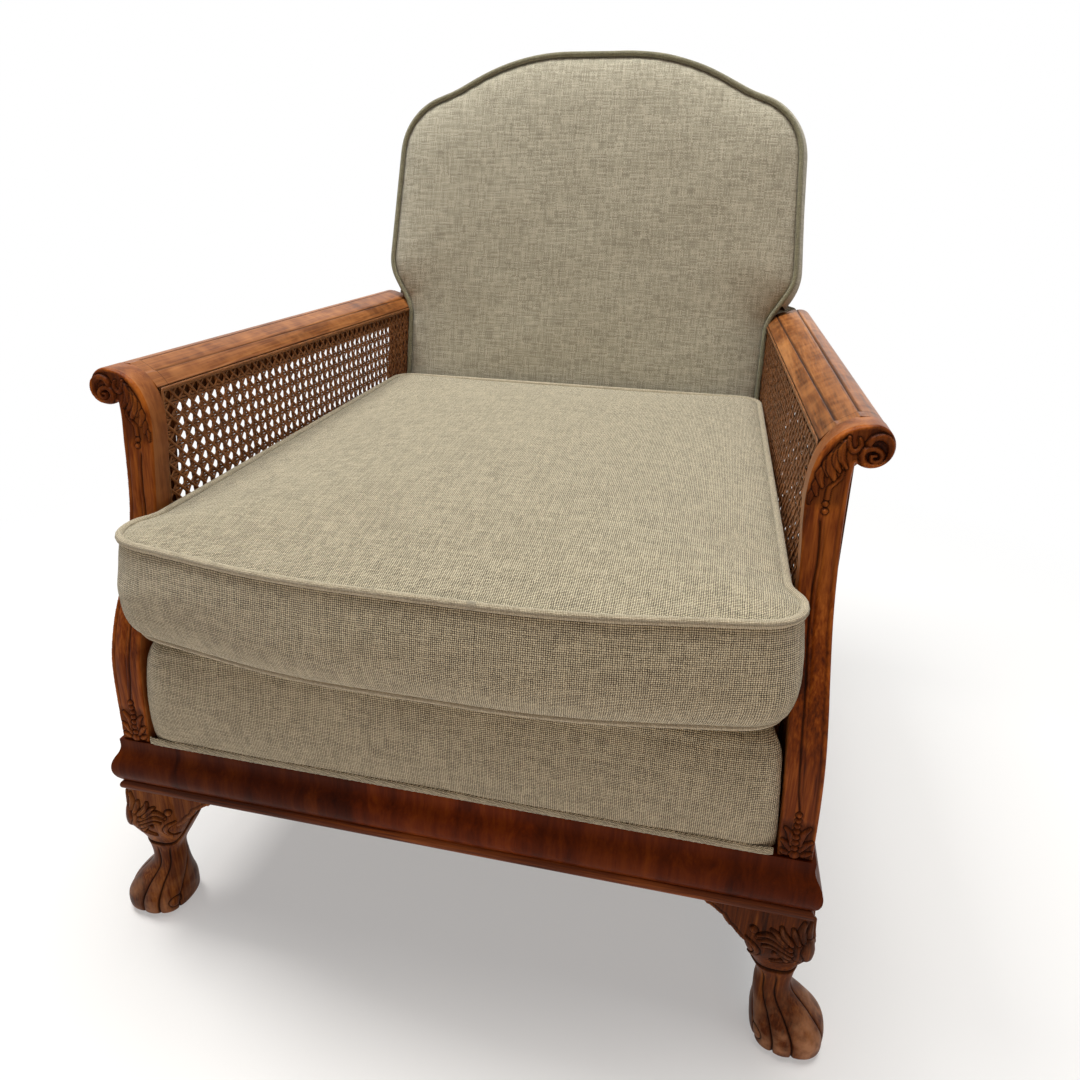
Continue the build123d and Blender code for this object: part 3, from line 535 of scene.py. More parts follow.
# Materials, in screen colours: from light to dark in cloth and from dark to light in wood
cover = fabric("cover_fabric", (222, 211, 181), (156, 145, 117), (56, 48, 33), grid=1.1, yarn=0.5, cloud=0.1)
cover_back = fabric("back_fabric", (216, 211, 190), (171, 165, 144), (106, 100, 84), relief=0.0003, slub=1.25,
                    grid=0.3, cloud=0.1)
welt = fabric("piping_fabric", (176, 172, 140), (128, 124, 98), (78, 74, 56), pitch=0.0012, relief=0.0005)
cushion_welt = fabric("cushion_piping_fabric", (224, 212, 184), (180, 168, 140), (112, 100, 78), pitch=0.0012,
                      relief=0.0005)
lining_cloth = fabric("lining_cloth", (128, 112, 88), (98, 84, 64), (60, 50, 38), pitch=0.0011, relief=0.0003,
                      slub=0.6)
webbing_cloth = fabric("webbing_cloth", (176, 150, 108), (142, 116, 80), (92, 72, 48), pitch=0.0018)
walnut_up = wood("walnut_upright", (54, 18, 2), (112, 51, 10), (162, 90, 32), along=2, shine=0.08)
# The legs' walnut is darker than the uprights': a darker patina, with painted shade under the seat
walnut_leg = wood("walnut_leg", (46, 18, 3), (88, 41, 10), (136, 79, 31), along=2, shine=0.06,
                  scuffed=(172, 124, 90))
walnut_cap = wood("walnut_cap", (82, 40, 14), (126, 69, 29), (168, 106, 55), along=2, gloss=0.38, shine=0.22,
                  pore=0.2)
walnut_arm = wood("walnut_arm", (74, 36, 14), (128, 74, 34), (174, 116, 66), along=1, gloss=0.36, shine=0.18)
# A darker copy of the upright walnut: painted shade for the frame members behind the caning
walnut_painted_shade = wood("walnut_painted_shade", (28, 11, 3), (60, 28, 9), (96, 52, 22), along=2, shine=0.06)
# The front rail's face is toned in bands: darkest towards its -X end, lightest just right of the middle and
# darker again towards its +X end
rail_front = wood("rail_veneer_front", (58, 17, 1), (94, 35, 4), (128, 58, 11), along=2, figure=0.8,
                  gloss=0.36, shine=0.04, pore=0.12,
                  tone_bands=[(-0.084, 0.5), (0.005, 0.9), (0.093, 1.0), (0.4, 0.74)])
rail_side = wood("rail_veneer_side", (48, 15, 2), (80, 31, 5), (112, 52, 13), along=2, figure=0.8, gloss=0.36,
                 shine=0.04, pore=0.12)
bead_tones = (46, 16, 3), (94, 43, 12), (146, 80, 34)
bead_wood = wood("bead_wood_front", *bead_tones, along=0, shine=0.1)
bead_side = wood("bead_wood_side", *bead_tones, along=1, shine=0.1)
beech_tones = (150, 112, 74), (186, 148, 104), (208, 174, 132)
beech_x = wood("beech_cross", *beech_tones, along=0, gloss=0.6)
beech_stained = wood("beech_stained", (52, 26, 12), (88, 48, 24), (120, 74, 42), along=0, gloss=0.5)
beech_z = wood("beech_upright", *beech_tones, along=2, gloss=0.6)
cane_skin = strand("cane_skin", (44, 19, 6), (170, 110, 62))
spring_wire_steel = steel("spring_steel", (170, 146, 120))


def dress(node, material):
    """Give a frame node its material."""
    mesh = frame["nodes"][node].data
    mesh.materials.clear()
    mesh.materials.append(material)


for node in frame["nodes"]:
    dress(node, walnut_up)
for node in ("crest_rail", "lower_back_rail"):
    dress(node, beech_x)
dress("rear_rail", beech_stained)
for side in hands:
    dress(f"corner_block_{side}", beech_z)
    dress(f"arm_rail_{side}", walnut_arm)
    dress(f"side_rail_{side}", rail_side)
    dress(f"side_bead_{side}", bead_side)
    # The frame members behind the caning take the darker walnut, as painted shade of the chair's inside
    for node in ("side_lower_rail", "side_upright_front", "side_upright_rear"):
        dress(f"{node}_{side}", walnut_painted_shade)
dress("frame_dowels", beech_z)
dress("frame_screws", spring_wire_steel)
dress("front_rail", rail_front)
dress("front_bead", bead_wood)


# Back: places on its reclined plane
def on_back(points, ahead):
    """Drawing points from places on the back's plane and distances ahead of it."""
    x, up = np.asarray(points, float).T
    ahead = np.broadcast_to(ahead, x.shape)
    return np.stack([x, back_y + up * sin(recline) - ahead * cos(recline),
                     back_z + up * cos(recline) + ahead * sin(recline)], axis=1)


def rise(height):
    return (height - back_z) / cos(recline)


pad_bottom = rise(deck_top) + 8.5
back_corners = mirrored([
    (back_neck, pad_bottom),
    (back_neck, rise(arm_top) - 19.2),
    (back_ear, rise(arm_top) + 38.8),
    (back_shoulder, back_top - 79.0),
    (0.735 * back_shoulder, back_top - 51.0),
    (0.40 * back_shoulder, back_top),
])
back_radii = [18, 50, 60, 85, 200, 300, 300, 200, 85, 60, 50, 18]


def outward(line, closed=True):
    """Directions out of a close-pointed outline, or to the right of an open line."""
    way = np.roll(line, -1, axis=0) - np.roll(line, 1, axis=0) if closed else np.gradient(line, axis=0)
    way /= np.linalg.norm(way, axis=1)[:, None]
    return np.stack([way[:, 1], -way[:, 0]], axis=1)


def grown(outline, by):
    """A close-pointed outline moved outwards by a distance."""
    return outline + outward(outline) * by


back_line = rounded(back_corners, back_radii, 5.0)


def ripple(places, seed):
    """Gentle unevenness of stuffed cloth, from -1 to 1."""
    x, y = places.T
    return (np.sin(x / 47 + seed) * np.sin(y / 61 + 2 * seed) + 0.5 * np.sin(x / 23 + y / 31 + 3 * seed)
            + 0.35 * np.sin(y / 17 - x / 41 + seed)) / 1.85


def back_pad():
    """Stuffed inside back: crowned, drawn down to the piping, with small puckers beside it."""
    outline = grown(back_line, -2.5)
    points, faces = filled(outline, 7.0)
    edge, along = distance(points, looped(outline))
    crown = pad_crown * inward(edge, 42) + 3.0 * inward(edge, 8)
    pucker = np.sin(along * 520) * np.exp(-edge / 16) * inward(edge, 3) * 0.9
    ahead = crown + pucker + 1.2 * ripple(points, 1.0) * inward(edge, 30) - 2.0
    shape = np.vstack([on_back(points, ahead), on_back(outline, -pad_depth + 4.2)])
    faces += skirt(len(outline), 0, len(points))
    weave = np.vstack([points, outline * 1.02])
    pad = make("inside_back", shape, faces, cover_back, weave=weave)
    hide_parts("back_pad")


def piping(name, line, material, closed=False, body="chair"):
    """Covered cord along a seam."""
    shape, faces, weave = tube(line, piping_radius + 0.2, sides=12, closed=closed)
    return make(name, shape, faces, material, body=body, weave=weave)


def back_edges():
    """Piping along the front edge of the back, and the swelled border behind it."""
    start = int(np.argmin(np.hypot(back_line[:, 0] - back_neck, back_line[:, 1] - pad_bottom - 20)))
    line = np.roll(back_line, -start, axis=0)
    line = line[line[:, 1] > pad_bottom + 2]
    pipe = piping("back_edge_piping", on_back(line, 0.0), welt)
    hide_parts("back_piping")
    line = evenly(line[line[:, 1] > rise(arm_top) + 8], 300)
    lengths = run_lengths(line)
    normal = outward(line, closed=False)
    rings, across = [on_back(line - normal * 3.0, -3.0)], [-3.0]
    for share in np.linspace(0, 1, 22):
        swell = 1.2 + (border_bulge - 1.0) * sin(pi * share ** 0.8) ** 0.8 + 1.6 * share
        ripples = 0.7 * np.sin(lengths / 9.0 + 5 * share) * exp(-share * 9)
        ripples += 0.5 * np.sin(lengths / 37.0 + 3 * share)
        rings.append(on_back(line + normal * (swell + ripples)[:, None], -2.0 - share * (border_depth - 2.0)))
        across.append(share * border_depth)
    rings.append(on_back(line - normal * 5.0, -border_depth + 0.5))
    across.append(border_depth + 5.0)
    weave = np.vstack([np.column_stack([lengths, np.full(len(lengths), place)]) for place in across])
    band = make("back_side_border", np.vstack(rings), grid_faces(len(rings), len(line)), cover_back,
                weave=weave)
    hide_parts("back_border")


def ordered(line):
    """The back's upper outline from its +X foot over the top to its -X foot."""
    start = int(np.argmax(np.linalg.norm(np.diff(looped(line), axis=0), axis=1))) + 1
    line = np.roll(line, -start, axis=0)
    return line if line[0, 0] > 0 else line[::-1]


def outside_back():
    """Outer cloth of the back, drawn tight over the frame."""
    upper = back_line[back_line[:, 1] > rise(arm_top) + 16]
    foot_half = seat_half_rear - 5.8
    low = [(foot_half, rise(rail_top)), (foot_half, rise(arm_top) + 10)]
    outline = np.vstack([low, grown(ordered(upper), 1.5), [(-x, up) for x, up in low[::-1]]])
    outline = evenly(looped(outline), 420)[:-1]
    points, faces = filled(outline, 12.0)
    edge, _ = distance(points, looped(outline))
    depth = border_depth + 1.6 + 3.5 * inward(edge, 60) + 0.5 * ripple(points, 4.0) * inward(edge, 20)
    shape = np.vstack([on_back(points, -depth), on_back(outline, -border_depth + 0.2)])
    count, start = len(outline), len(points)
    faces = flipped(faces)
    faces += [(k, (k + 1) % count, start + (k + 1) % count, start + k) for k in range(count)]
    sheet = make("outside_back_cover", shape, faces, cover_back,
                 weave=np.vstack([points, outline]))
    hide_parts("outside_back")


back_pad()
back_edges()
outside_back()


# Seat: cushion, front border, deck
cushion_middle = (cushion_front + cushion_rear) / 2
cushion_corners = mirrored([
    (0.4 * cushion_half_front, cushion_front - cushion_bow),
    (cushion_half_front - 19, cushion_front - 5),
    (cushion_half_front, cushion_front + 13),
    (cushion_half_front, arm_post_y + 24),
    (cushion_half_posts, arm_post_y + 43),
    (cushion_half_rear, cushion_rear),
])
cushion_radii = [700, 44, 30, 12, 20, 28, 28, 20, 12, 30, 44, 700]
cushion_line = rounded(cushion_corners, cushion_radii, 7.0)


def cushion_height(places):
    """Height of the cushion's top seam over its bottom at places in plan."""
    share = (places[:, 1] - cushion_front) / (cushion_rear - cushion_front)
    return cushion_heights[0] + share * (cushion_heights[1] - cushion_heights[0])


def inflate(obj, pinned, pressure, caps):
    """Swell a closed cloth form, holding its seams; no point moves farther than its cap."""
    frames = 20
    rest = places_of(obj.data)
    group = obj.vertex_groups.new(name="seams")
    group.add([int(index) for index in pinned], 1.0, "REPLACE")
    cloth = obj.modifiers.new("swell", "CLOTH")
    settings = cloth.settings
    settings.vertex_group_mass = "seams"
    settings.use_pressure = True
    settings.uniform_pressure_force = pressure
    settings.quality = 5
    settings.mass = 0.3
    settings.tension_stiffness = 18
    settings.compression_stiffness = 18
    settings.shear_stiffness = 8
    settings.bending_stiffness = 2
    settings.effector_weights.gravity = 0.0
    cloth.point_cache.frame_end = frames
    scene = bpy.context.scene
    for step in range(1, frames + 1):
        scene.frame_set(step)
    swollen = obj.evaluated_get(bpy.context.evaluated_depsgraph_get())
    moved = places_of(swollen.data) - rest
    obj.modifiers.remove(cloth)
    scene.frame_set(1)
    reach = np.linalg.norm(moved, axis=1)
    moved *= np.minimum(1.0, caps * MM / np.maximum(reach, 1e-9))[:, None]
    obj.data.vertices.foreach_set("co", (rest + moved).astype(np.float32).ravel())
    obj.data.update()


def seat_cushion():
    """Loose box cushion: two panels and a boxing strip, swelled, with piping on both seams."""
    plan = cushion_line
    count, rows = len(plan), 20
    seam_low, fullest, pressure = 6.6, 0.63, 3.2
    top_cap, side_cap, front_cap = 14.0, 1.5, 6.0
    points, faces = filled(plan, 11.0)
    inner = len(points)
    edge, _ = distance(points, looped(plan))
    lift = 15.0 * inward(edge, 55) + 2.0 * inward(edge, 9)
    top = np.column_stack([points, cushion_bottom + cushion_height(points) + lift])
    centre = np.array([0.0, cushion_middle])
    corner = np.hypot(np.abs(points[:, 0]) - cushion_half_front, points[:, 1] - cushion_front)
    tip = np.exp(-(corner / 38) ** 2)
    low_points = centre + (points - centre) * (0.981 + 0.01 * tip)[:, None]
    seam = cushion_bottom + seam_low + 3.5 * tip
    bottom = np.column_stack([low_points, seam - np.minimum(edge, 6.0)])
    ahead = 1 - smooth_share(plan[:, 1], -8.0, 20.0)
    ends = np.exp(-((np.abs(plan[:, 0]) - 225) / 65) ** 2)
    boxing_rows = []
    for row in range(1, rows):
        share = row / rows
        past = max(0.0, share - fullest) / (1 - fullest)
        ear = 1 - smooth_share(plan[:, 1], 4.0 - 12.0 * share, 32.0 - 12.0 * share)
        plain = sin(pi * share ** 1.5) ** 0.55
        full = max(plain, cos(0.5 * pi * past ** 2.2) ** 0.55) if past else plain
        swell = (2.0 + 8.0 * ear) * (plain + (full - plain) * tip[:count])
        swell += 0.9 * ahead * np.sin(plan[:, 0] / 31 + 7 * share) * sin(pi * share)
        swell += 0.8 * ahead * ends * np.sin(19 * share + plan[:, 0] / 38) * sin(pi * share)
        place = plan + (low_points[:count] - plan) * share ** 6 + outward(plan) * swell[:, None]
        height = seam[:count] + (cushion_bottom + cushion_height(plan) - seam[:count]) * (1 - share)
        boxing_rows.append(np.column_stack([place, height]))
    shape = np.vstack([top] + boxing_rows + [bottom])
    rings = [np.arange(count)] + [inner + row * count + np.arange(count) for row in range(rows)]
    offset = rings[-1][0]
    boxing = [(upper[k], lower[k], lower[(k + 1) % count], upper[(k + 1) % count])
              for upper, lower in zip(rings[:-1], rings[1:]) for k in range(count)]
    faces = faces + boxing + shifted(flipped(faces), offset)
    cushion = make("seat_cushion_cover", shape, faces, cover, body="cushion")
    pinned = np.r_[rings[0], offset + np.arange(inner)]
    boxing_caps = np.tile(side_cap + front_cap * ahead, rows - 1)
    inflate(cushion, pinned, pressure, np.r_[np.full(inner, top_cap), boxing_caps, np.zeros(inner)])
    weave_cushion(cushion, rings, run_lengths(looped(plan)))
    for name, ring, node, out in (("cushion_top_piping", rings[0], "cushion_piping_top", 0.6),
                                  ("cushion_bottom_piping", rings[-1], "cushion_piping_bottom", -0.8)):
        line = shape[ring] + np.column_stack([out * outward(plan), np.zeros(count)])
        pipe = piping(name, line, cushion_welt, closed=True, body="cushion")
        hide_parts(node)
    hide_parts("seat_cushion")
    smooth = cushion.modifiers.new("smooth", "SUBSURF")
    smooth.levels = smooth.render_levels = 1


def weave_cushion(cushion, rings, lengths):
    """Weave coordinates of the cushion: plan on its panels, round and up on its boxing."""
    mesh = cushion.data
    places = places_of(mesh)
    layer = mesh.uv_layers.new(name="weave")
    column_of = np.full(len(places), -1)
    for ring in rings:
        column_of[ring] = np.arange(len(ring))
    for polygon in mesh.polygons:
        corners = list(polygon.vertices)
        columns = column_of[corners]
        boxing = len(corners) == 4
        wraps = boxing and columns.max() - columns.min() > 1
        for loop, corner, column in zip(polygon.loop_indices, corners, columns):
            if boxing:
                around = lengths[-1] if wraps and column == 0 else lengths[column]
                layer.data[loop].uv = (around * MM, places[corner][2])
            else:
                layer.data[loop].uv = places[corner][:2]


border_low = rail_top + 0.4
border_half = seat_half_front - 33.0


def front_border():
    """Swelled front of the sprung seat, with its rolled top edge."""
    high, half_high = deck_top - 8.0, seat_half_front - 42.0
    face_y, roll, columns = 3.0, 16.0, 150
    profile = [(face_y - 8.0 * sin(pi * share) ** 0.7, border_low + share * (high - roll - border_low))
               for share in np.linspace(0, 1, 26)]
    profile += [(face_y + roll * (1 - cos(angle)), high - roll + roll * sin(angle))
                for angle in np.linspace(0, pi / 2, 9)[1:]]
    profile = np.array(profile + [(border_back, high)])
    shape, weave = [], []
    for (y, z), step in zip(profile, run_lengths(profile)):
        half = border_half + (half_high - border_half) * (z - border_low) / (high - border_low)
        half -= 10.0 * float(smooth_share(z, high - 26.0, high + 6.0)) ** 1.5
        for x in np.linspace(-half, half, columns):
            side = half - abs(x)
            tuck = 12.0 * exp(-side / 8.0)
            swell = 0.8 * sin(x / 41.0 + z / 29.0) + 0.5 * sin(x / 19.0 - z / 23.0)
            ease = (1 - exp(-side / 12.0)) * (1 - exp(-(z - border_low) / 12.0))
            shape.append((x, y + tuck + swell * ease, z))
            weave.append((x, step))
    face = make("seat_front_cover", shape, flipped(grid_faces(len(profile), columns)), cover,
                weave=weave)
    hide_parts("seat_front_border")


def front_band():
    """Folded band along the rail, at the foot of the front border."""
    half, columns = border_half - 3, 400
    profile = [(2.5, 0.0), (-0.9, 0.4), (-1.5, 2.6), (-1.4, 5.2), (-1.0, 7.2), (0.2, 7.9)]
    shape, weave = [], []
    for index, (y, up) in enumerate(profile):
        z = border_low + up
        for x in np.linspace(-half, half, columns):
            tuck = 3.0 * exp(-(border_half - abs(x)) / 4.0)
            twill = 0.2 * sin(x / 1.1 + z) if 0 < index < 5 else 0.0
            shape.append((x, y + tuck + twill, z))
            weave.append((x + z, z - x * 0.4))
    make("seat_front_band", shape, flipped(grid_faces(len(profile), columns)), cover,
         weave=weave)


def cane_half(y):
    return cane_half_front - cane_taper * (y - cane_y)


def deck():
    """Sprung deck under the cushion: a stuffed pad with a rolled edge."""
    front = border_back + 0.3
    rear = back_y + (deck_top - back_z) * tan(recline) - pad_crown / cos(recline) - 1.8
    near, far = cane_half(front) - 6.0, cane_half(rear) - 6.0
    outline = rounded([(-near, front), (near, front), (far, rear), (-far, rear)], [6, 6, 6, 6], 8.0)
    points, faces = filled(outline, 14.0)
    edge, _ = distance(points, looped(outline))
    height = deck_top - 10.0 * np.exp(-edge / 6.0) + 0.2 * ripple(points, 2.0) - 0.25
    low = np.column_stack([outline, np.full(len(outline), deck_top - deck_thick)])
    shape = np.vstack([np.column_stack([points, height]), low])
    faces = plate_faces(faces, len(outline), len(points))
    pad = make("seat_deck_pad", shape, faces, lining_cloth, weave=np.vstack([points, outline]))
    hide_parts("seat_deck")


seat_cushion()
front_border()
front_band()
deck()


# Caned sides
def on_side(along, height, out):
    """Drawing points on the left caned side: along the arm, up, and outwards from the cane's plane."""
    length = hypot(1.0, cane_taper)
    along, height, out = np.broadcast_arrays(*(np.asarray(v, float) for v in (along, height, out)))
    x = cane_half_front - cane_taper / length * along + out / length
    y = cane_y + along / length + out * cane_taper / length
    return np.stack([x, y, height], axis=-1)


def post_rear(up):
    """Y of an arm post's rear face at heights over the rail."""
    return arm_post_y + arm_post_thick / cos(arm_post_lean) + tan(arm_post_lean) * np.asarray(up, float)


def stile_face(height):
    """Y of a rear post's front face at a height."""
    return back_y + tan(recline) * (height - back_z) + pad_depth / cos(recline)


def front_line(height):
    return post_rear(height - rail_top) - cane_y


def rear_line(height):
    return stile_face(height) - cane_y


cane_pitch = 14.2
cane_low = rail_top + 6.0
cane_high = cane_top - 0.3


def clip_run(start, way):
    """The stretch of a straight strand that lies on the cane panel, as its two ends."""
    marks = np.linspace(-900, 900, 1801)
    line = np.asarray(start) + marks[:, None] * np.asarray(way)
    within = (line[:, 1] > cane_low) & (line[:, 1] < cane_high)
    within &= (line[:, 0] > front_line(line[:, 1]) + 2) & (line[:, 0] < rear_line(line[:, 1]) - 6)
    if within.sum() < 4:
        return None
    return line[within][0], line[within][-1]


def cane_runs():
    """Every strand of six-way caning: pairs up and along, and one strand on each diagonal.

    Each is a place on it, its direction, its width, its layer outwards and its number."""
    pair_half, width, diagonal_width = 1.5, 2.7, 3.3
    base, root = cane_low + 4.0, sqrt(0.5)
    reach = int(700 / cane_pitch) + 2
    runs = []
    for k in range(-2, reach):
        for offset in (-pair_half, pair_half):
            runs.append(((k * cane_pitch + offset, 400.0), (0, 1), width, 1.1, k))
            runs.append(((0.0, base + k * cane_pitch + offset), (1, 0), width, 0.3, k))
    for k in range(-reach, 2 * reach):
        start = ((k + 0.5) * cane_pitch, base)
        runs.append((start, (root, root), diagonal_width, -0.2, k))
        runs.append((start, (-root, root), diagonal_width, -0.7, k))
    return runs


def cane_net(side, sign):
    """The strands of one caned side, bowed over and under each other."""
    shape, faces, weave = [], [], []
    profile = np.array([(-0.5, 0.4), (-0.25, -0.4), (0.25, -0.4), (0.5, 0.4)])
    for start, way, width, layer, index in cane_runs():
        ends = clip_run(start, way)
        if ends is None:
            continue
        length = np.linalg.norm(ends[1] - ends[0])
        stations = max(3, int(length / (0.5 * cane_pitch / max(abs(way[0]), abs(way[1])))) + 1)
        line = ends[0] + np.linspace(0, 1, stations)[:, None] * (ends[1] - ends[0])
        across = np.array([-way[1], way[0]])
        wave = 0.3 * np.cos(np.arange(stations) * pi + index * pi)
        faces += shifted(grid_faces(stations, len(profile), wrap=True), len(shape))
        for spot, lift, step in zip(line, wave, np.linspace(0, length, stations)):
            for offset, raise_by in profile:
                place = spot + across * offset * width
                shape.append(on_side(place[0], place[1], 1.2 + layer + lift + raise_by))
                weave.append((step + 37 * index, offset * width + 11 * index))
    shape = np.array(shape)
    shape[:, 0] *= sign
    net = make(f"caning_{side}", shape, faces, cane_skin, weave=weave)
    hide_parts(f"cane_panel_{side}")


def cane_edge(side, sign):
    """The flat binder cane round one caned side."""
    radius, flatness, ring_sides = 2.3, 0.4, 8
    front_gap, rear_gap, edge_gap = 4.5, 8.5, 2.5
    low, high = cane_low + edge_gap, cane_high - edge_gap
    corners = [(front_line(cane_low) + front_gap, low), (rear_line(cane_low) - rear_gap, low),
               (rear_line(cane_high) - rear_gap, high), (front_line(cane_high) + front_gap, high)]
    ring = np.vstack([evenly(np.array([here, after], float), 90)[:-1]
                      for here, after in zip(corners, corners[1:] + corners[:1])])
    line = on_side(ring[:, 0], ring[:, 1], -0.35 + 0.12 * np.sin(np.arange(len(ring)) * 1.3))
    line[:, 0] *= sign
    shape, faces, weave = tube(line, radius, sides=ring_sides, closed=True)
    centre = np.repeat(line, ring_sides, axis=0)
    flat = shape - centre
    flat[:, 0] *= flatness
    binder = make(f"cane_edge_{side}", centre + flat, faces, cane_skin, weave=weave)
    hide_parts(f"cane_binder_{side}")


for side, sign in hands.items():
    cane_net(side, sign)
    cane_edge(side, sign)


# Hidden cloths, straps and springs
def lining(name, corners, across, node, sag=0.0):
    """A stretched cloth between four drawing corners, sagged a little in its middle."""
    rows, thick = 24, 1.2
    first, second, third, fourth = (np.array(corner, float) for corner in corners)
    across = np.array(across)
    width, far_width, length = (np.linalg.norm(run)
                                for run in (second - first, third - fourth, fourth - first))
    shape, weave = [], []
    for along in np.linspace(0, 1, rows):
        for side in np.linspace(0, 1, rows):
            near, far = first * (1 - side) + second * side, fourth * (1 - side) + third * side
            bow = sag * sin(pi * along) * sin(pi * side)
            shape.append(near * (1 - along) + far * along + across * bow)
            weave.append((side * width, along * length))
    front = len(shape)
    shape += [place + across * thick for place in shape]
    weave += weave
    faces = grid_faces(rows, rows)
    faces += shifted(flipped(faces), front)
    border = ([k for k in range(rows)] + [k * rows + rows - 1 for k in range(1, rows)]
              + [front - 1 - k for k in range(1, rows)] + [(rows - 1 - k) * rows for k in range(1, rows - 1)])
    faces += [(after, here, front + here, front + after)
              for here, after in zip(border, border[1:] + border[:1])]
    cloth = make(name, shape, faces, lining_cloth, weave=weave)
    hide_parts(node)


def box_of(node):
    """A node's lowest and highest corners as drawing points."""
    low, high = (np.array(corner) / MM - np.array([0.0, front_y, 0.0]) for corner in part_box(node))
    return low, high


def level_corners(low, high, taper, z):
    """Corners of a level cloth in a node's box, narrower at its rear."""
    return [(low[0], low[1], z), (high[0], low[1], z),
            (high[0] - taper, high[1], z), (low[0] + taper, high[1], z)]


def hidden_cloths():
    low, high = box_of("dust_cover")
    lining("dust_cloth", level_corners(low, high, 8, high[2]), (0, 0, -1), "dust_cover",
           sag=3.0)
    low, high = box_of("seat_hessian")
    lining("spring_hessian", level_corners(low, high, 14, low[2]), (0, 0, 1), "seat_hessian")
    for side, sign in hands.items():
        node = f"seat_side_lining_{side}"
        low, high = box_of(node)
        near, far = (sign * (cane_half(y) - 3.4) for y in (low[1], high[1]))
        corners = [(near, low[1], low[2]), (far, high[1], low[2]),
                   (far, high[1], high[2]), (near, low[1], high[2])]
        lining(f"side_lining_{side}", corners, (-sign, 0, 0), node)


def strap_mesh(name, node, spans):
    """Woven straps with thick edges: each span gives its start, its end and its directions across and up."""
    shape, faces, weave = [], [], []
    profile = [(-1.0, 0.0), (-0.97, 0.9), (-0.9, 0.75), (0.0, 0.8),
               (0.9, 0.75), (0.97, 0.9), (1.0, 0.0), (0.0, -0.1)]
    stations, round_count = 30, len(profile)
    one_faces = grid_faces(stations, round_count, wrap=True)
    last = (stations - 1) * round_count
    one_faces += [tuple(range(round_count)), tuple(range(last, last + round_count))[::-1]]
    for start, end, across, up in spans:
        faces += shifted(one_faces, len(shape))
        for share in np.linspace(0, 1, stations):
            place = start + (end - start) * share
            for offset, lift in profile:
                shape.append(place + across * offset + up * (0.9 + 0.8 * (lift - 0.5)))
                weave.append((share * np.linalg.norm(end - start), offset * 25.0))
    straps = make(name, shape, faces, webbing_cloth, weave=weave)
    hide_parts(node)


def loose_parts(node):
    """Drawing points of each loose part of a node."""
    mesh = frame["nodes"][node].data
    places = places_of(mesh) / MM - np.array([0.0, front_y, 0.0])
    first_at = {}
    twins = [first_at.setdefault(tuple(place), index) for index, place in enumerate(np.round(places, 2))]
    pairs = [tuple(edge.vertices) for edge in mesh.edges] + list(enumerate(twins))
    group, before = np.arange(len(places)), None
    while before is None or (before != group).any():
        before = group.copy()
        for first, second in pairs:
            group[first] = group[second] = min(group[first], group[second])
    return [places[group == label] for label in np.unique(group)]


def straps():
    """Webbing of the back and the seat, each strap laid where the frame's is."""
    back_up, back_along = (0.0, -cos(recline), sin(recline)), (0.0, sin(recline), cos(recline))
    for part, directions, up, along in (("back", ("upright", "cross"), back_up, back_along),
                                        ("seat", ("long", "cross"), (0.0, 0.0, 1.0), (0.0, 1.0, 0.0))):
        up = np.array(up)
        for direction in directions:
            node = f"{part}_webbing_{direction}"
            spans = []
            for corners in loose_parts(node):
                base = corners[(corners - corners.mean(0)) @ up < 0].mean(0)
                way = np.array(along if np.ptp(corners[:, 0]) < 60 else (1.0, 0.0, 0.0))
                reach = ((corners - base) @ way).max()
                across = np.cross(up, way)
                half = abs((corners - base) @ across).max()
                spans.append((base - way * reach, base + way * reach, across * half, up))
            strap_mesh(f"{part}_straps_{direction}", node, spans)


def springs():
    """Hourglass springs of round wire, wound as the frame's springs are."""
    wire, turn_count = 1.9, 4
    low, high = rail_bottom + wire, deck_top - deck_thick - wire - wire
    turns = np.linspace(0, turn_count, turn_count * 32 + 1)
    radius = 24.0 + 16.0 * (2 * turns / turn_count - 1) ** 2
    coil = np.stack([radius * np.cos(2 * pi * turns), radius * np.sin(2 * pi * turns),
                     low + (high - low) * turns / turn_count], axis=1)
    shape, faces = [], []
    one_shape, one_faces, _ = tube(coil, 1.8, sides=8)
    for y in np.linspace(150.0, stile_face(rail_bottom) - 110.0, 3):
        for x in (-165.0, 0.0, 165.0):
            faces += shifted(one_faces, len(shape) * len(one_shape))
            shape.append(one_shape + np.array([x, y, 0.0]))
    coils = make("seat_coils", np.vstack(shape), faces, spring_wire_steel)
    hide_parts("seat_springs")


hidden_cloths()
straps()
springs()


# Carving
def line_mark(gap, width):
    return np.exp(-(gap / width) ** 2)


def carve(places, strokes, vein=0.0):
    """Height of carved lobes, and their darkness: painted shade on their sloping rims, in the groove round
    them and in their veins.

    Each stroke is a line of places, the half widths along it and a height."""
    height = np.zeros(len(places))
    dark = np.zeros(len(places))
    for line, widths, raised in strokes:
        line = smooth_line(line, 26)
        reach = max(widths) + 2.5
        near = ((places > line.min(0) - reach) & (places < line.max(0) + reach)).all(axis=1)
        if not near.any():
            continue
        gap, along = distance(places[near], line)
        width = np.interp(along, np.linspace(0, 1, len(widths)), widths)
        share = gap / width
        lobe = raised * np.sqrt(np.clip(1 - share ** 2, 0, 1))
        edge = line_mark(gap - width - 0.45, 0.6)
        height[near] = np.where(share < 1, np.maximum(height[near], lobe), height[near]) - edge
        # Painted shade: darker towards each lobe's sloping rim and along the groove round it
        dark[near] = np.where(share < 1, np.minimum(dark[near], share ** 6), dark[near])
        dark[near] = np.maximum(dark[near], edge)
        if vein:
            fold = vein * line_mark(share - 0.42, 0.16) * np.sin(pi * along) * (share < 1)
            height[near] -= 0.6 * fold
            dark[near] = np.maximum(dark[near], 0.75 * fold)
    return height, dark


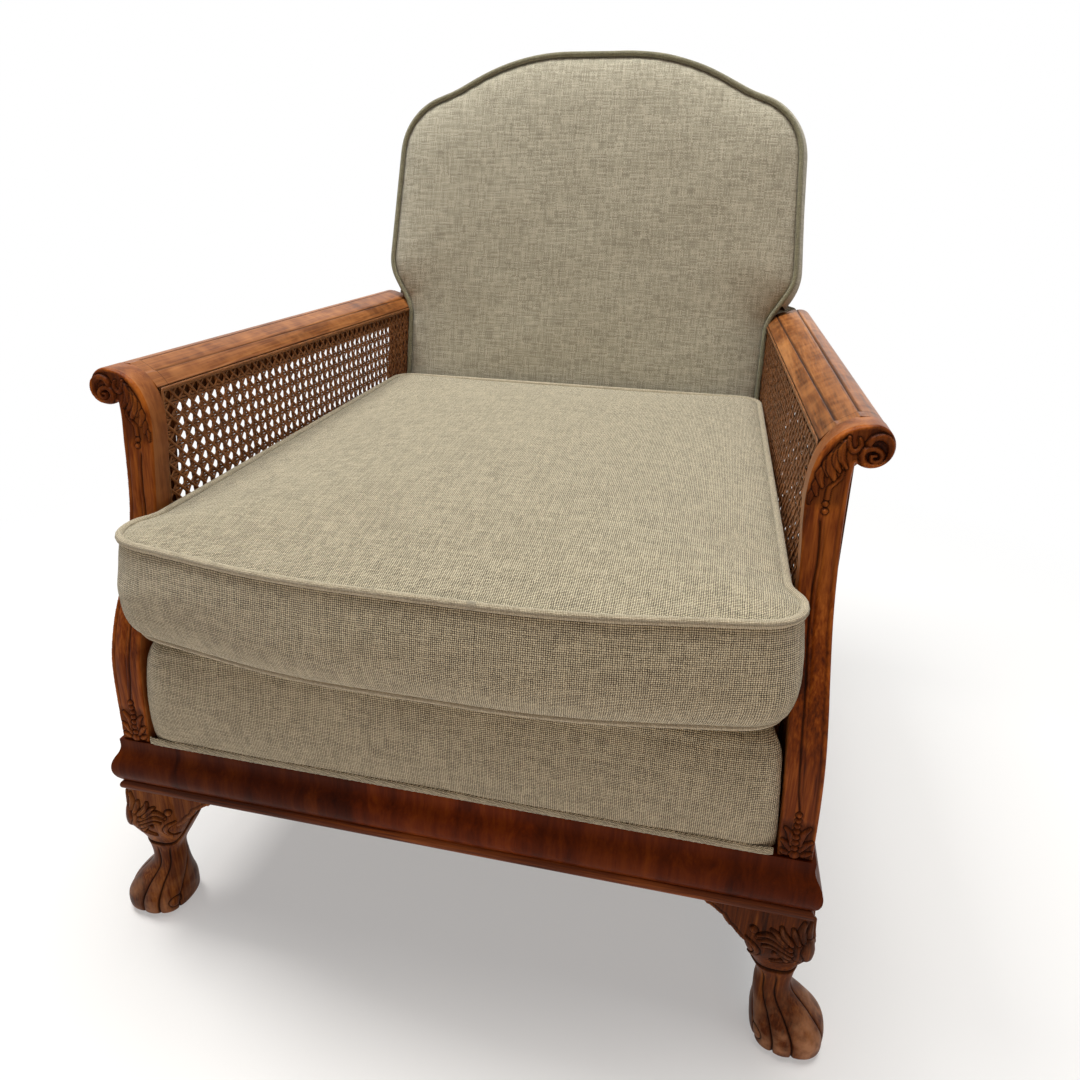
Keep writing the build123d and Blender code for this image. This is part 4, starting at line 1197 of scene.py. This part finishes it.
def overlaid(raised, shade, places, strokes):
    """Carved height and darkness with more strokes laid over them."""
    higher, darker = carve(places, strokes)
    over = higher > 0.2
    raised = np.where(over, np.maximum(raised, higher), raised + np.minimum(higher, 0))
    return raised, np.where(over, darker, np.maximum(shade, darker))


def edge_drop(gap, radius):
    """How far a rounded edge falls away at a distance in from it."""
    return radius - np.sqrt(radius ** 2 - np.clip(radius - gap, 0, radius) ** 2)


def bead(x, y, radius, raised):
    return [(x, y), (x + 0.01, y)], [radius, radius], raised


# Arm posts: insets and setbacks against shares of the rise, then places across and up from the rail
post_outer = [(3.5, 0), (5, 0.15), (7.5, 0.29), (11, 0.45), (14, 0.59), (16.5, 0.73), (18, 0.83),
              (17.8, 0.91)]
post_inner = [(19, 1.042), (31, 1.023), (40, 0.991), (46, 0.945), (48.5, 0.885), (48, 0.82), (46, 0.75),
              (43.5, 0.62), (41, 0.453), (38, 0.282), (35, 0.148), (32, 0)]
post_front = [(0, -0.1), (0, 0.1), (0.5, 0.24), (4, 0.31), (13, 0.39), (26, 0.465), (41, 0.56), (50, 0.645),
              (54, 0.73), (56, 0.82), (59, 0.93), (64, 1.1)]
post_front_line = smooth_line([(setback, share * arm_rise) for setback, share in post_front], 500)
post_centre_line = [(299.0, 287), (301.3, 268), (302.3, 249), (301.7, 227), (302.9, 188), (305.3, 152),
                    (306.8, 115), (310.5, 71), (314.3, 49.5)]
volute = [(325.6, 346.4), (327.6, 349.8), (333.6, 352.2), (339.4, 348.8), (341.8, 342.8), (341.4, 336.6),
          (338.0, 331.8), (332.4, 329.6), (326.0, 330.6), (322.0, 334.8), (322.4, 339.6), (326.4, 342.5),
          (331.8, 342.4), (335.8, 338.8), (335.6, 334.8), (332.6, 332.8), (328.9, 333.4), (327.6, 336.0),
          (329.2, 338.2), (331.4, 337.6)]
post_leaf = [
    ([(291.9, 310), (289.9, 303), (289.1, 297)], [1.2, 2.2, 0.8], 1.2),
    ([(294.6, 318.5), (292.2, 311), (293.7, 304)], [1.6, 2.7, 1.1], 1.5),
    ([(298.0, 328.5), (294.2, 319.7), (297.2, 310.8)], [2.0, 3.3, 1.3], 1.9),
    ([(301.5, 336.0), (297.8, 328.6), (299.8, 320.0)], [2.2, 3.2, 1.5], 2.1),
    ([(306.0, 342.5), (301.0, 332), (302.0, 323.6), (306.2, 315.6)], [2.4, 3.6, 3.4, 1.4], 2.5),
    ([(308.0, 345.5), (304.2, 335.4), (305.0, 329), (308.2, 323.4)], [2.2, 3.0, 2.8, 1.2], 2.6),
    ([(310.0, 347.0), (307.2, 339.9), (308.5, 332.7), (312.2, 326.6)], [2.0, 2.8, 2.6, 1.1], 2.8),
]
post_strokes = [
    ([(310.6, 323.6), (310.0, 319.1), (306.3, 314.4), (302.6, 309.6), (302.0, 301.5)],
     [0.9, 1.2, 1.4, 1.7, 1.9], 1.3),
    bead(301.5, 297.3, 2.3, 2.0),
    bead(301.7, 291.6, 2.3, 2.0),
    ([(311.0, 350.0), (311.8, 344.0), (315.0, 339.6), (319.0, 341.2), (320.3, 345.6), (318.6, 349.6)],
     [1.3, 1.6, 1.7, 1.7, 1.6, 1.1], 2.2),
    (volute, [2.6, 3.0, 3.0, 2.6, 2.4, 2.0, 1.4], 3.0),
]
foot_strokes = [
    ([(312.5, 4.5), (307.5, 5.0), (304.4, 7.5)], [2.2, 2.8, 1.3], 1.7),
    ([(312.4, 8.5), (307.8, 14.5), (303.9, 18.0)], [2.2, 3.0, 1.3], 1.8),
    ([(312.8, 14.5), (310.2, 24.4), (305.7, 30.4)], [2.0, 2.9, 1.3], 1.9),
    ([(319.4, 4.5), (324.3, 5.2), (329.0, 8.0)], [2.2, 2.8, 1.3], 1.7),
    ([(319.4, 8.5), (323.6, 15.0), (328.3, 19.5)], [2.2, 3.0, 1.3], 1.8),
    ([(318.8, 14.5), (320.5, 25.5), (325.2, 33.1)], [2.0, 2.9, 1.3], 1.9),
    bead(316.0, 3.6, 4.4, 2.4),
] + [bead(315.8 - 0.033 * up, up, 3.1 - 0.016 * up, 2.2) for up in np.linspace(10.8, 46.0, 7)]


def post_setback(up):
    return np.interp(up, post_front_line[:, 1], post_front_line[:, 0])


def on_post(points, ahead):
    """Drawing points from places on the left arm post's front face and distances ahead of it."""
    x, up = np.asarray(points, float).T
    tilt = np.arctan((post_setback(up + 2) - post_setback(up - 2)) / 4)
    y = arm_post_y + post_setback(up) - ahead * np.cos(tilt)
    return np.stack([x, y, rail_top + up + ahead * np.sin(tilt)], axis=1)


def post_lines():
    """The outer edge up to the cusp, the scroll's round and the inner edge down from its top."""
    centre = np.array([seat_half_front - scroll_inset, arm_rise])
    turns = np.linspace(radians(-125.4), pi / 2, 90)
    ring = centre + scroll_radius * np.stack([np.cos(turns), np.sin(turns)], axis=1)
    outer, inner = ([(seat_half_front - inset, share * arm_rise) for inset, share in edge]
                    for edge in (post_outer, post_inner))
    return smooth_line(outer + [ring[0]], 220), ring, smooth_line([ring[-1]] + inner, 240)


def post_relief(points, outer, ring, inner):
    """Height ahead of the post's face and darkness of its hollows, painted shade over the dark old finish
    there.
    """
    x, up = points.T
    gap, _ = distance(points, np.vstack([outer, ring[1:], inner[1:]]))
    to_outer, _ = distance(points, outer)
    to_line, _ = distance(points, smooth_line(post_centre_line, 80))
    line_x, line_up = np.array(post_centre_line[::-1]).T
    middle = np.interp(up, line_up, line_x)
    outside = np.clip(x - middle, 0, None)
    shaft = between(up, 48, 72, 275, 290)
    height, dark = np.zeros(len(points)), np.zeros(len(points))
    for off, depth, width, shade, shade_width, share in (
            (to_line, 1.8, 0.9, 0.95, 0.9, between(up, 44, 52, 282, 288)),
            (outside - 3.2, 0.8, 0.8, 0.5, 0.6, shaft),
            (to_outer - 4.2, 0.9, 0.8, 0.4, 0.7, between(up, 28, 68, 312, 324))):
        height -= depth * line_mark(off, width) * share
        dark = np.maximum(dark, shade * line_mark(off, shade_width) * share)
    height += 0.7 * np.sin(np.clip((outside - 4) / 9, 0, 1) * pi) * shaft
    leaf = smooth_share(up, 290, 300) * (1 - smooth_share(x, 310, 315)) * smooth_share(gap, 2.0, 4.5)
    scroll = smooth_share(up, 330, 333) * smooth_share(gap, 2.6, 3.4) * smooth_share(x, 312, 317)
    ground = np.clip(leaf + scroll, 0, 1)
    foot = (1 - smooth_share(up, 33, 44)) * smooth_share(gap, 1.0, 2.5)
    height -= 1.2 * ground + 1.0 * foot
    dark = np.maximum(dark, np.maximum(0.42 * ground, 0.5 * foot))
    raised, shade = carve(points, post_leaf, vein=0.7)
    raised, shade = overlaid(raised, shade, points, post_strokes + foot_strokes)
    dark = np.where(raised > 0.35, np.minimum(dark, 0.25), dark)
    return height + raised, np.maximum(dark, shade), gap


def edge_round(points):
    """How far the post's front edge is rounded: more where its cap turns over the top."""
    x, up = points.T
    return 1.8 + 2.6 * smooth_share(up, 290, 324) * (1 - smooth_share(x, 316, 328))


def arm_post(side, sign):
    outer, ring, inner = post_lines()
    outline = evenly(looped(np.vstack([outer, ring[1:], inner[1:]])), 860)[:-1]
    points, faces = filled(outline, 0.95)
    height, dark, gap = post_relief(points, outer, ring, inner)
    height = height * smooth_share(gap, 0.3, 1.6) - edge_drop(gap, edge_round(points))
    dark = dark * smooth_share(gap, 0.2, 1.0)
    count = len(outline)
    height[:count] = -edge_round(outline)
    rows = [on_post(points, height)]
    x, up = outline.T
    front, rear = arm_post_y + post_setback(up) + edge_round(outline), post_rear(up)
    for share in (0.04, 0.96, 1.0):
        rows.append(np.column_stack([x, front + share * (rear - front), rail_top + up]))
    back, back_faces = filled(outline, 9.0)
    rows.append(np.column_stack([back[:, 0], post_rear(back[:, 1]), rail_top + back[:, 1]]))
    shape = np.vstack(rows)
    starts = [0] + [len(points) + row * count for row in range(4)]
    for first, second in zip(starts[:-2], starts[1:-1]):
        faces += skirt(count, first, second)
    faces += shifted(flipped(back_faces), starts[-1])
    worn = 0.55 * (1 - smooth_share(gap, 1.0, 4.5)) + 0.4 * smooth_share(height, 0.8, 2.2)
    behind = len(shape) - len(points)
    marks = {"recess": np.r_[dark, np.zeros(behind)], "wear_and_painted_light": np.r_[worn, np.full(behind, 0.3)]}
    if sign < 0:
        faces = mirror(shape, faces)
    post = make(f"carved_post_{side}", shape, faces, walnut_up, marks=marks)
    post.data.materials.append(walnut_cap)
    for polygon in post.data.polygons:
        polygon.material_index = int(max(polygon.vertices) >= len(points))
    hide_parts(f"arm_post_{side}")


# Arm rails: a moulded section run between the post and the back
roll_groove = 6.8


def arm_profile():
    """The section from its inner lower edge over the top and round: anchor, offset, height, dark, groove."""
    bead_out, bead_top = 14.8, cane_top + 13.0
    # The darkness at the section's inner lower edge, against the cane, is painted shade
    profile = [("in", 0.0, cane_top, 0.6, 0.0), ("in", 0.5, cane_top + 1.2, 0.1, 0.0)]
    for share in np.linspace(0.12, 0.94, 9):
        curve = 0.5 * sin(pi * share)
        profile.append(("in", 11.5 * share - curve, cane_top + 12.0 * share + curve, 0.0, 0.0))
    # The darkness in the groove is painted shade
    profile += [("in", 11.4, cane_top + 12.0, 0.35, 0.2), ("in", 12.2, cane_top + 10.8, 0.95, 1.6),
                ("in", 13.0, cane_top + 10.7, 0.95, 1.9), ("in", 13.8, cane_top + 12.2, 0.4, 0.6),
                ("in", bead_out, bead_top, 0.0, 0.0)]
    for share in np.linspace(0.1, 0.92, 10):
        profile.append((share, bead_out, bead_top + (arm_top - bead_top - 0.4) * share ** 0.85, 0.0, 0.0))
    profile += [("roll", -roll_groove, arm_top - 0.3, 0.3, 0.2), ("roll", -6.2, arm_top - 1.6, 0.9, 1.4),
                ("roll", -5.4, arm_top - 1.7, 0.9, 1.5), ("roll", -4.6, arm_top - 0.4, 0.3, 0.2)]
    for angle in np.linspace(pi / 2 + 0.16, -pi / 2, 26):
        profile.append(("roll", scroll_radius * cos(angle), scroll_z + scroll_radius * sin(angle), 0.0, 0.0))
    # The darkness along the arm's underside and down to the cane is painted shade
    return profile + [("roll", -6.0, arm_under, 0.2, 0.0), ("in", 3.2, arm_under, 0.4, 0.0),
                      ("in", 3.2, cane_top - 0.3, 0.8, 0.0)]


def arm_rail(side, sign):
    out_front, out_rear = seat_half_front + 9.0, seat_half_rear + 13.0
    columns, cap = 60, 15.0
    profile = arm_profile()
    shape, recess, wear_and_painted_light = [], [], []
    for anchor, offset, z, dark, groove in profile:
        first, last = cane_y + front_line(z) - 0.4, cane_y + rear_line(z)
        beyond = np.linspace(cap + 2, last - first, columns - 5)
        for run in np.r_[0.0, 0.5 * cap, cap - 0.6, cap, cap + 0.6, beyond]:
            y = first + run
            inner = cane_half(y)
            roll_x = out_front - (out_front - out_rear) * (y - cane_y) / (back_y - cane_y) - scroll_radius
            if anchor == "in":
                x = inner + offset
            elif anchor == "roll":
                x = roll_x + offset
            else:
                x = inner + offset + (roll_x - roll_groove - inner - offset) * anchor
            joint = run == cap and (z > cane_top + 1 or anchor == "roll")
            shape.append((sign * x, y, z + (groove if run < cap else 0.0)))
            recess.append(0.75 if joint else dark if run > cap or not groove else 0.0)
            wear_and_painted_light.append(0.35 if z > cane_top + 2 and not dark else 0.0)
    rows = len(profile)
    order = np.arange(rows * columns).reshape(rows, columns).T.ravel()
    count = len(order)
    order = np.r_[order, order[:rows], order[-rows:]]
    shape, recess, wear_and_painted_light = (np.asarray(values)[order] for values in (shape, recess, wear_and_painted_light))
    faces = grid_faces(columns, rows, wrap=True)
    faces += [tuple(range(count, count + rows))[::-1], tuple(range(count + rows, count + 2 * rows))]
    if sign > 0:
        faces = flipped(faces)
    marks = {"recess": recess, "wear_and_painted_light": wear_and_painted_light}
    rail = make(f"moulded_arm_{side}", shape, faces, walnut_arm, marks=marks)
    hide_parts(f"arm_rail_{side}")


# Front legs: rings of a rounded square section, with toes, a stocking line and a leafy knee
leg_x = seat_half_front - 19.0
leg_y = 28.0
knee_half = 28.5

# Share of the height, shift outwards and back, width and corner radius
leg_sections = [(0.00, 27, 2, 62, 22), (0.05, 27, 1, 68, 26), (0.14, 25, 0, 66, 26), (0.26, 17, -2, 52, 22),
                (0.38, 7, -3, 35, 15), (0.49, 6, -2, 33, 14), (0.60, 3, -1, 44, 14), (0.74, 2, -1, 62, 13),
                (0.88, 0, 0, 60, 9), (1.00, 0, 0, 57, 6)]

# Heading of each cut on the floor and at the ankle, and the height of its top
toe_cuts = [(-230, -250, 60), (-150, -205, 72), (-115, -125, 99), (-84, -87, 99), (-24, -14, 90),
            (60, 70, 60)]

# Places round the knee from its corner, and up from the floor
knee_leaf = [
    ([(46, 147), (36, 149), (24, 146), (13, 142), (8, 134)], [2.0, 5.5, 8.0, 9.0, 7.0], 1.2),
    ([(27.6, 119), (22.5, 120.2), (16, 124)], [1.1, 2.4, 2.4], 1.8),
    ([(30.4, 122.6), (25.5, 123.4), (17, 128)], [1.1, 2.5, 2.6], 1.9),
    ([(31.8, 134.6), (28.0, 135.4), (22.5, 131.5), (19, 126.5)], [1.4, 2.2, 2.6, 2.0], 2.0),
    ([(41.5, 140.4), (33.5, 141.0), (25.5, 137.2), (18, 131.5)], [1.1, 2.3, 2.9, 2.2], 2.1),
    ([(45.0, 144.4), (36.0, 146.0), (27.5, 143.2), (17, 136.5)], [1.1, 2.4, 3.0, 2.2], 2.2),
    ([(45.0, 149.9), (37.0, 152.2), (28.5, 149.4), (18, 141.5)], [1.2, 2.5, 3.1, 2.3], 2.3),
    ([(33.8, 158.4), (29.5, 155.0), (22, 147.0)], [1.2, 2.7, 2.6], 2.2),
    ([(25.2, 162.8), (23.4, 156.0), (17, 147.5)], [1.3, 3.0, 2.7], 2.3),
    ([(15.2, 163.0), (13.6, 157.0), (11, 149.5)], [1.4, 3.0, 2.7], 2.3),
    ([(6.4, 171.6), (8.0, 162.5), (6.0, 151.5)], [1.4, 3.2, 2.8], 2.4),
    ([(-1.0, 173.0), (0.4, 164.0), (0.5, 153.5)], [1.4, 3.0, 2.8], 2.3),
]
knee_rounds = [
    bead(49.0, 154.0, 3.6, 2.6),
    ([(58, 141), (50.5, 138), (45.5, 130.5), (46.5, 121), (50.5, 118.5)], [1.2, 2.1, 2.4, 2.2, 1.6], 1.7),
    ([(0, 148), (0, 140), (0, 131)], [6.0, 9.5, 5.5], 2.8),
]


def leg_shape():
    """Rings of points of the left leg, with their darkness and how worn each point is."""
    table = smooth_line(leg_sections, 500)
    heights = leg_height * np.linspace(0, 1, 250)
    headings = np.linspace(-225, 135, 320, endpoint=False)
    turn = np.radians(headings)
    out, back, width, corner = (np.interp(heights / leg_height, table[:, 0], values)[:, None]
                                for values in table.T[1:])
    power = 2.0 + 5.0 * np.clip(1 - corner / (width / 2), 0, 1) ** 1.6
    radius = width / 2 / (np.abs(np.cos(turn)) ** power + np.abs(np.sin(turn)) ** power) ** (1 / power)
    dark, wear_and_painted_light = np.zeros_like(radius), np.zeros_like(radius)
    z = heights[:, None]
    toes = 1 - smooth_share(z, 60, 98)
    low = 1 - smooth_share(z, 14, 70)
    cuts = [(floor + (ankle - floor) * smooth_share(z, 10, 95), top) for floor, ankle, top in toe_cuts]
    for (first, _), (second, _) in zip(cuts[:-1], cuts[1:]):
        share = np.clip((headings[None] - first) / (second - first), 0, 1)
        swell = np.sin(pi * share) ** 0.6
        radius += swell * (0.7 * toes + 1.1 * low + 1.0 * np.exp(-((z - 30) / 12) ** 2))
        wear_and_painted_light = np.maximum(wear_and_painted_light, swell * (0.8 * low + 0.15 * toes))
    radius -= 0.9 * low
    for cut, top in cuts[1:-1]:
        gap = np.radians(headings[None] - cut) * radius
        depth = smooth_share(top - z, 0, 14)
        radius -= (0.8 + 1.0 * low) * depth * line_mark(gap, 1.1)
        dark = np.maximum(dark, line_mark(gap, 1.0) * depth)
    side_toe = np.hypot(np.radians(headings[None] + 143) * radius, z - 19)
    radius += 1.6 * np.sqrt(np.clip(1 - (side_toe / 7) ** 2, 0, 1))
    radius -= 0.8 * line_mark(side_toe - 7.4, 0.9)
    dark = np.maximum(dark, 0.95 * line_mark(side_toe - 7.4, 0.8))
    radius -= 3.2 * (1 - smooth_share(z, 0, 8)) ** 2
    collar = 99.5 + 27 * (1 - smooth_share(headings, -188, -132)) + 5 * smooth_share(headings, -60, 0)
    collar += 20 * smooth_share(headings, 60, 110)
    above = z - collar[None]
    radius += 1.6 * between(-above, -0.4, 1.4, 4, 34)
    radius -= 1.0 * line_mark(above - 1.2, 1.5)
    dark = np.maximum(dark, line_mark(above - 0.9, 1.7))
    around = np.stack([radius * np.cos(turn), radius * np.sin(turn)], axis=-1)
    pace = np.linalg.norm(np.diff(around, axis=1, append=around[:, :1]), axis=-1)
    arc = np.cumsum(pace, axis=1) - pace
    corner_at = int(np.argmin(np.abs(headings + 45)))
    arc = np.abs(arc - arc[:, corner_at:corner_at + 1])
    front = (headings > -150) & (headings < 60)
    places = np.stack([arc, np.broadcast_to(z, arc.shape)], axis=-1)[:, front].reshape(-1, 2)
    raised, shade = carve(places, knee_leaf, vein=0.9)
    raised, shade = overlaid(raised, 0.85 * shade, places, knee_rounds)
    lift, shadow = np.zeros_like(radius), np.zeros_like(radius)
    lift[:, front] = raised.reshape(len(heights), -1)
    shadow[:, front] = shade.reshape(len(heights), -1)
    dark = np.maximum(dark, shadow)
    wear_and_painted_light = np.maximum(wear_and_painted_light, 0.12 * smooth_share(lift, 0.8, 2.0))
    radius += lift * smooth_share(leg_height - z, 0.5, 4)
    points = np.stack([leg_x + out + radius * np.cos(turn), leg_y + back + radius * np.sin(turn),
                       np.broadcast_to(z, radius.shape)], axis=-1)
    return points, dark, wear_and_painted_light


def front_leg(side, sign):
    points, dark, wear_and_painted_light = leg_shape()
    # The +X leg's pale scuffs are made stronger and the -X leg's weaker: painted light on the +X leg and
    # painted shade on the -X leg, over the real scuffs
    wear_and_painted_light = wear_and_painted_light * (1.35 if sign > 0 else 0.6)
    rows, columns = dark.shape
    faces = grid_faces(rows, columns, wrap=True)
    faces += [tuple(range(columns))[::-1], tuple(range((rows - 1) * columns, rows * columns))]
    block_x, block_y = seat_half_front - 26.0 - 22.0, 26.5
    block_top = box_of(f"front_leg_{side}")[1][2]
    block = [(block_x + x, block_y + y, z) for z in (leg_height - 4, block_top)
             for x, y in ((-20, 0), (20, 0), (20, 40), (-20, 40))]
    faces += shifted([(0, 1, 5, 4), (1, 2, 6, 5), (2, 3, 7, 6), (3, 0, 4, 7), (4, 5, 6, 7)], rows * columns)
    shape = np.vstack([points.reshape(-1, 3), block])
    marks = {"recess": np.r_[dark.ravel(), np.zeros(8)], "wear_and_painted_light": np.r_[wear_and_painted_light.ravel(), np.zeros(8)]}
    if sign < 0:
        faces = mirror(shape, faces)
    leg = make(f"carved_leg_{side}", shape, faces, walnut_leg, marks=marks)
    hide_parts(f"front_leg_{side}")


def bracket_outline():
    """Knee bracket seen from the front: reach from the knee's inner side, and height."""
    tip, root = (44.5, leg_height), (-9.0, leg_height)
    lower = [smooth_line(line, count) for line, count in (
        ([(44.5, 176.0), (40.0, 168.5), (35.0, 163.6)], 12),
        ([(34.2, 164.4), (28.5, 160.8), (22.5, 156.2)], 10),
        ([(21.8, 157.0), (18.0, 150.5), (14.0, 146.0)], 10),
        ([(13.4, 146.8), (4.0, 136.5), (-5.0, 129.0), (-9.0, 116.5)], 18))]
    return evenly(np.vstack([[tip]] + lower + [[root, tip]]), 300)[:-1]


def knee_bracket(side, sign, facing):
    thick, inset, edge_radius = 27.0, 2.4, 2.6
    outline = bracket_outline()
    points, faces = filled(outline, 1.6)
    gap, _ = distance(points, outline[(outline[:, 1] < leg_height - 0.5) & (outline[:, 0] > -8.5)])
    reach = points[:, 0]
    line = line_mark(gap - 4.6, 0.8) * between(reach, -4, 6, 30, 38)
    ahead = -edge_drop(gap, edge_radius) - 0.9 * line - 0.10 * np.clip(reach, 0, None)
    count = len(outline)
    ahead = np.r_[ahead, np.full(count, -thick)]
    reach, height = np.vstack([points, outline]).T
    faces = plate_faces(faces, count, len(points))
    if facing == "front":
        shape = np.column_stack([leg_x - knee_half - reach, inset - ahead, height])
        faces = flipped(faces)
    else:
        shape = np.column_stack([seat_half_front - inset + ahead, leg_y + knee_half + reach, height])
    if sign < 0:
        faces = mirror(shape, faces)
    worn = 0.4 * (1 - smooth_share(gap, 1, 4))
    marks = {"recess": np.r_[0.85 * line, np.zeros(count)], "wear_and_painted_light": np.r_[worn, np.zeros(count)]}
    piece = make(f"knee_ear_{facing}_{side}", shape, faces, walnut_leg, marks=marks)
    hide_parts(f"knee_bracket_{facing}_{side}")


for side, sign in hands.items():
    arm_post(side, sign)
    arm_rail(side, sign)
    front_leg(side, sign)
    for facing in ("front", "side"):
        knee_bracket(side, sign, facing)


# Stage, light and camera
def stage():
    paint = Paint("floor_paint")
    rays = paint.node("ShaderNodeLightPath").outputs
    far = paint.node("ShaderNodeVectorMath", {0: paint.place()}, operation="LENGTH").outputs["Value"]
    spread = {"Value": far, "From Min": 0.55, "From Max": 1.5, "To Min": 0.35}
    fade = paint.node("ShaderNodeMapRange", spread).outputs[0]
    paint.finish(Base_Color=(0.93, 0.925, 0.915, 1.0), Roughness=0.9)
    glow = paint.node("ShaderNodeEmission", {"Color": (1.0, 1.0, 1.0, 1.0), "Strength": 1.0})
    seen = paint.math("MAXIMUM", rays["Is Camera Ray"], paint.math("MAXIMUM", rays["Is Glossy Ray"],
                                                                    rays["Is Transmission Ray"]))
    share = paint.math("MULTIPLY", fade, seen)
    mixed = paint.node("ShaderNodeMixShader", {0: share, 1: paint.shader.outputs[0], 2: glow.outputs[0]})
    output = next(node for node in paint.tree.nodes if node.type == "OUTPUT_MATERIAL")
    paint.tree.links.new(mixed.outputs[0], output.inputs["Surface"])
    mesh = bpy.data.meshes.new("floor")
    reach, sides = 9.0, 64
    ring = [(reach * cos(2 * pi * k / sides), reach * sin(2 * pi * k / sides), -0.0005) for k in range(sides)]
    mesh.from_pydata(ring, [], [tuple(range(sides))])
    mesh.materials.append(paint.material)
    floor = bpy.data.objects.new("floor", mesh)
    bpy.context.scene.collection.objects.link(floor)


def lamp(name, place, target, size, power, colour):
    data = bpy.data.lights.new(name, "AREA")
    data.energy, data.size, data.color = power, size, colour
    obj = bpy.data.objects.new(name, data)
    obj.location = place
    obj.rotation_euler = (Vector(target) - Vector(place)).to_track_quat("-Z", "Y").to_euler()
    bpy.context.scene.collection.objects.link(obj)


def light():
    world_paint = bpy.data.worlds.new("studio")
    bpy.context.scene.world = world_paint
    world_paint.use_nodes = True
    tree = world_paint.node_tree
    back = tree.nodes["Background"]
    rays = tree.nodes.new("ShaderNodeLightPath").outputs
    seen = rays["Is Camera Ray"]
    for other in ("Is Glossy Ray", "Is Transmission Ray"):
        either = tree.nodes.new("ShaderNodeMath")
        either.operation = "MAXIMUM"
        tree.links.new(seen, either.inputs[0])
        tree.links.new(rays[other], either.inputs[1])
        seen = either.outputs[0]
    level = tree.nodes.new("ShaderNodeMapRange")
    level.inputs["To Min"].default_value = 0.12
    level.inputs["To Max"].default_value = 1.0
    tree.links.new(seen, level.inputs["Value"])
    back.inputs["Color"].default_value = (1.0, 1.0, 1.0, 1.0)
    tree.links.new(level.outputs[0], back.inputs["Strength"])
    lamp("key", (-1.5, 0.1, 4.0), (0.0, 0.0, 0.45), 1.2, 85.0, (1.0, 0.98, 0.95))
    lamp("overhead", (0.2, -0.05, 4.0), (0.0, 0.05, 0.4), 2.0, 124.0, (1.0, 0.99, 0.96))
    lamp("fill", (0.8, -2.2, 0.7), (0.0, 0.0, 0.4), 1.6, 7.0, (1.0, 0.53, 0.25))


def camera():
    """The photograph's place and direction, with its off-centre framing."""
    right = Vector((0.97354, 0.22772, 0.01893))
    down = Vector((0.10614, -0.37727, -0.92000))
    ahead = Vector((-0.20236, 0.89767, -0.39146))
    data = bpy.data.cameras.new("camera")
    data.sensor_width = 36.0
    data.lens = 27.054
    data.shift_x, data.shift_y = 0.0120, -0.0042
    data.clip_start = 0.05
    obj = bpy.data.objects.new("camera", data)
    turn = Matrix((right, -down, -ahead)).transposed().to_4x4()
    obj.matrix_world = Matrix.Translation(Vector(world((207.0, -561.7, 753.8)))) @ turn
    bpy.context.scene.collection.objects.link(obj)
    bpy.context.scene.camera = obj


stage()
light()
camera()
bpy.context.scene.view_settings.view_transform = "Standard"
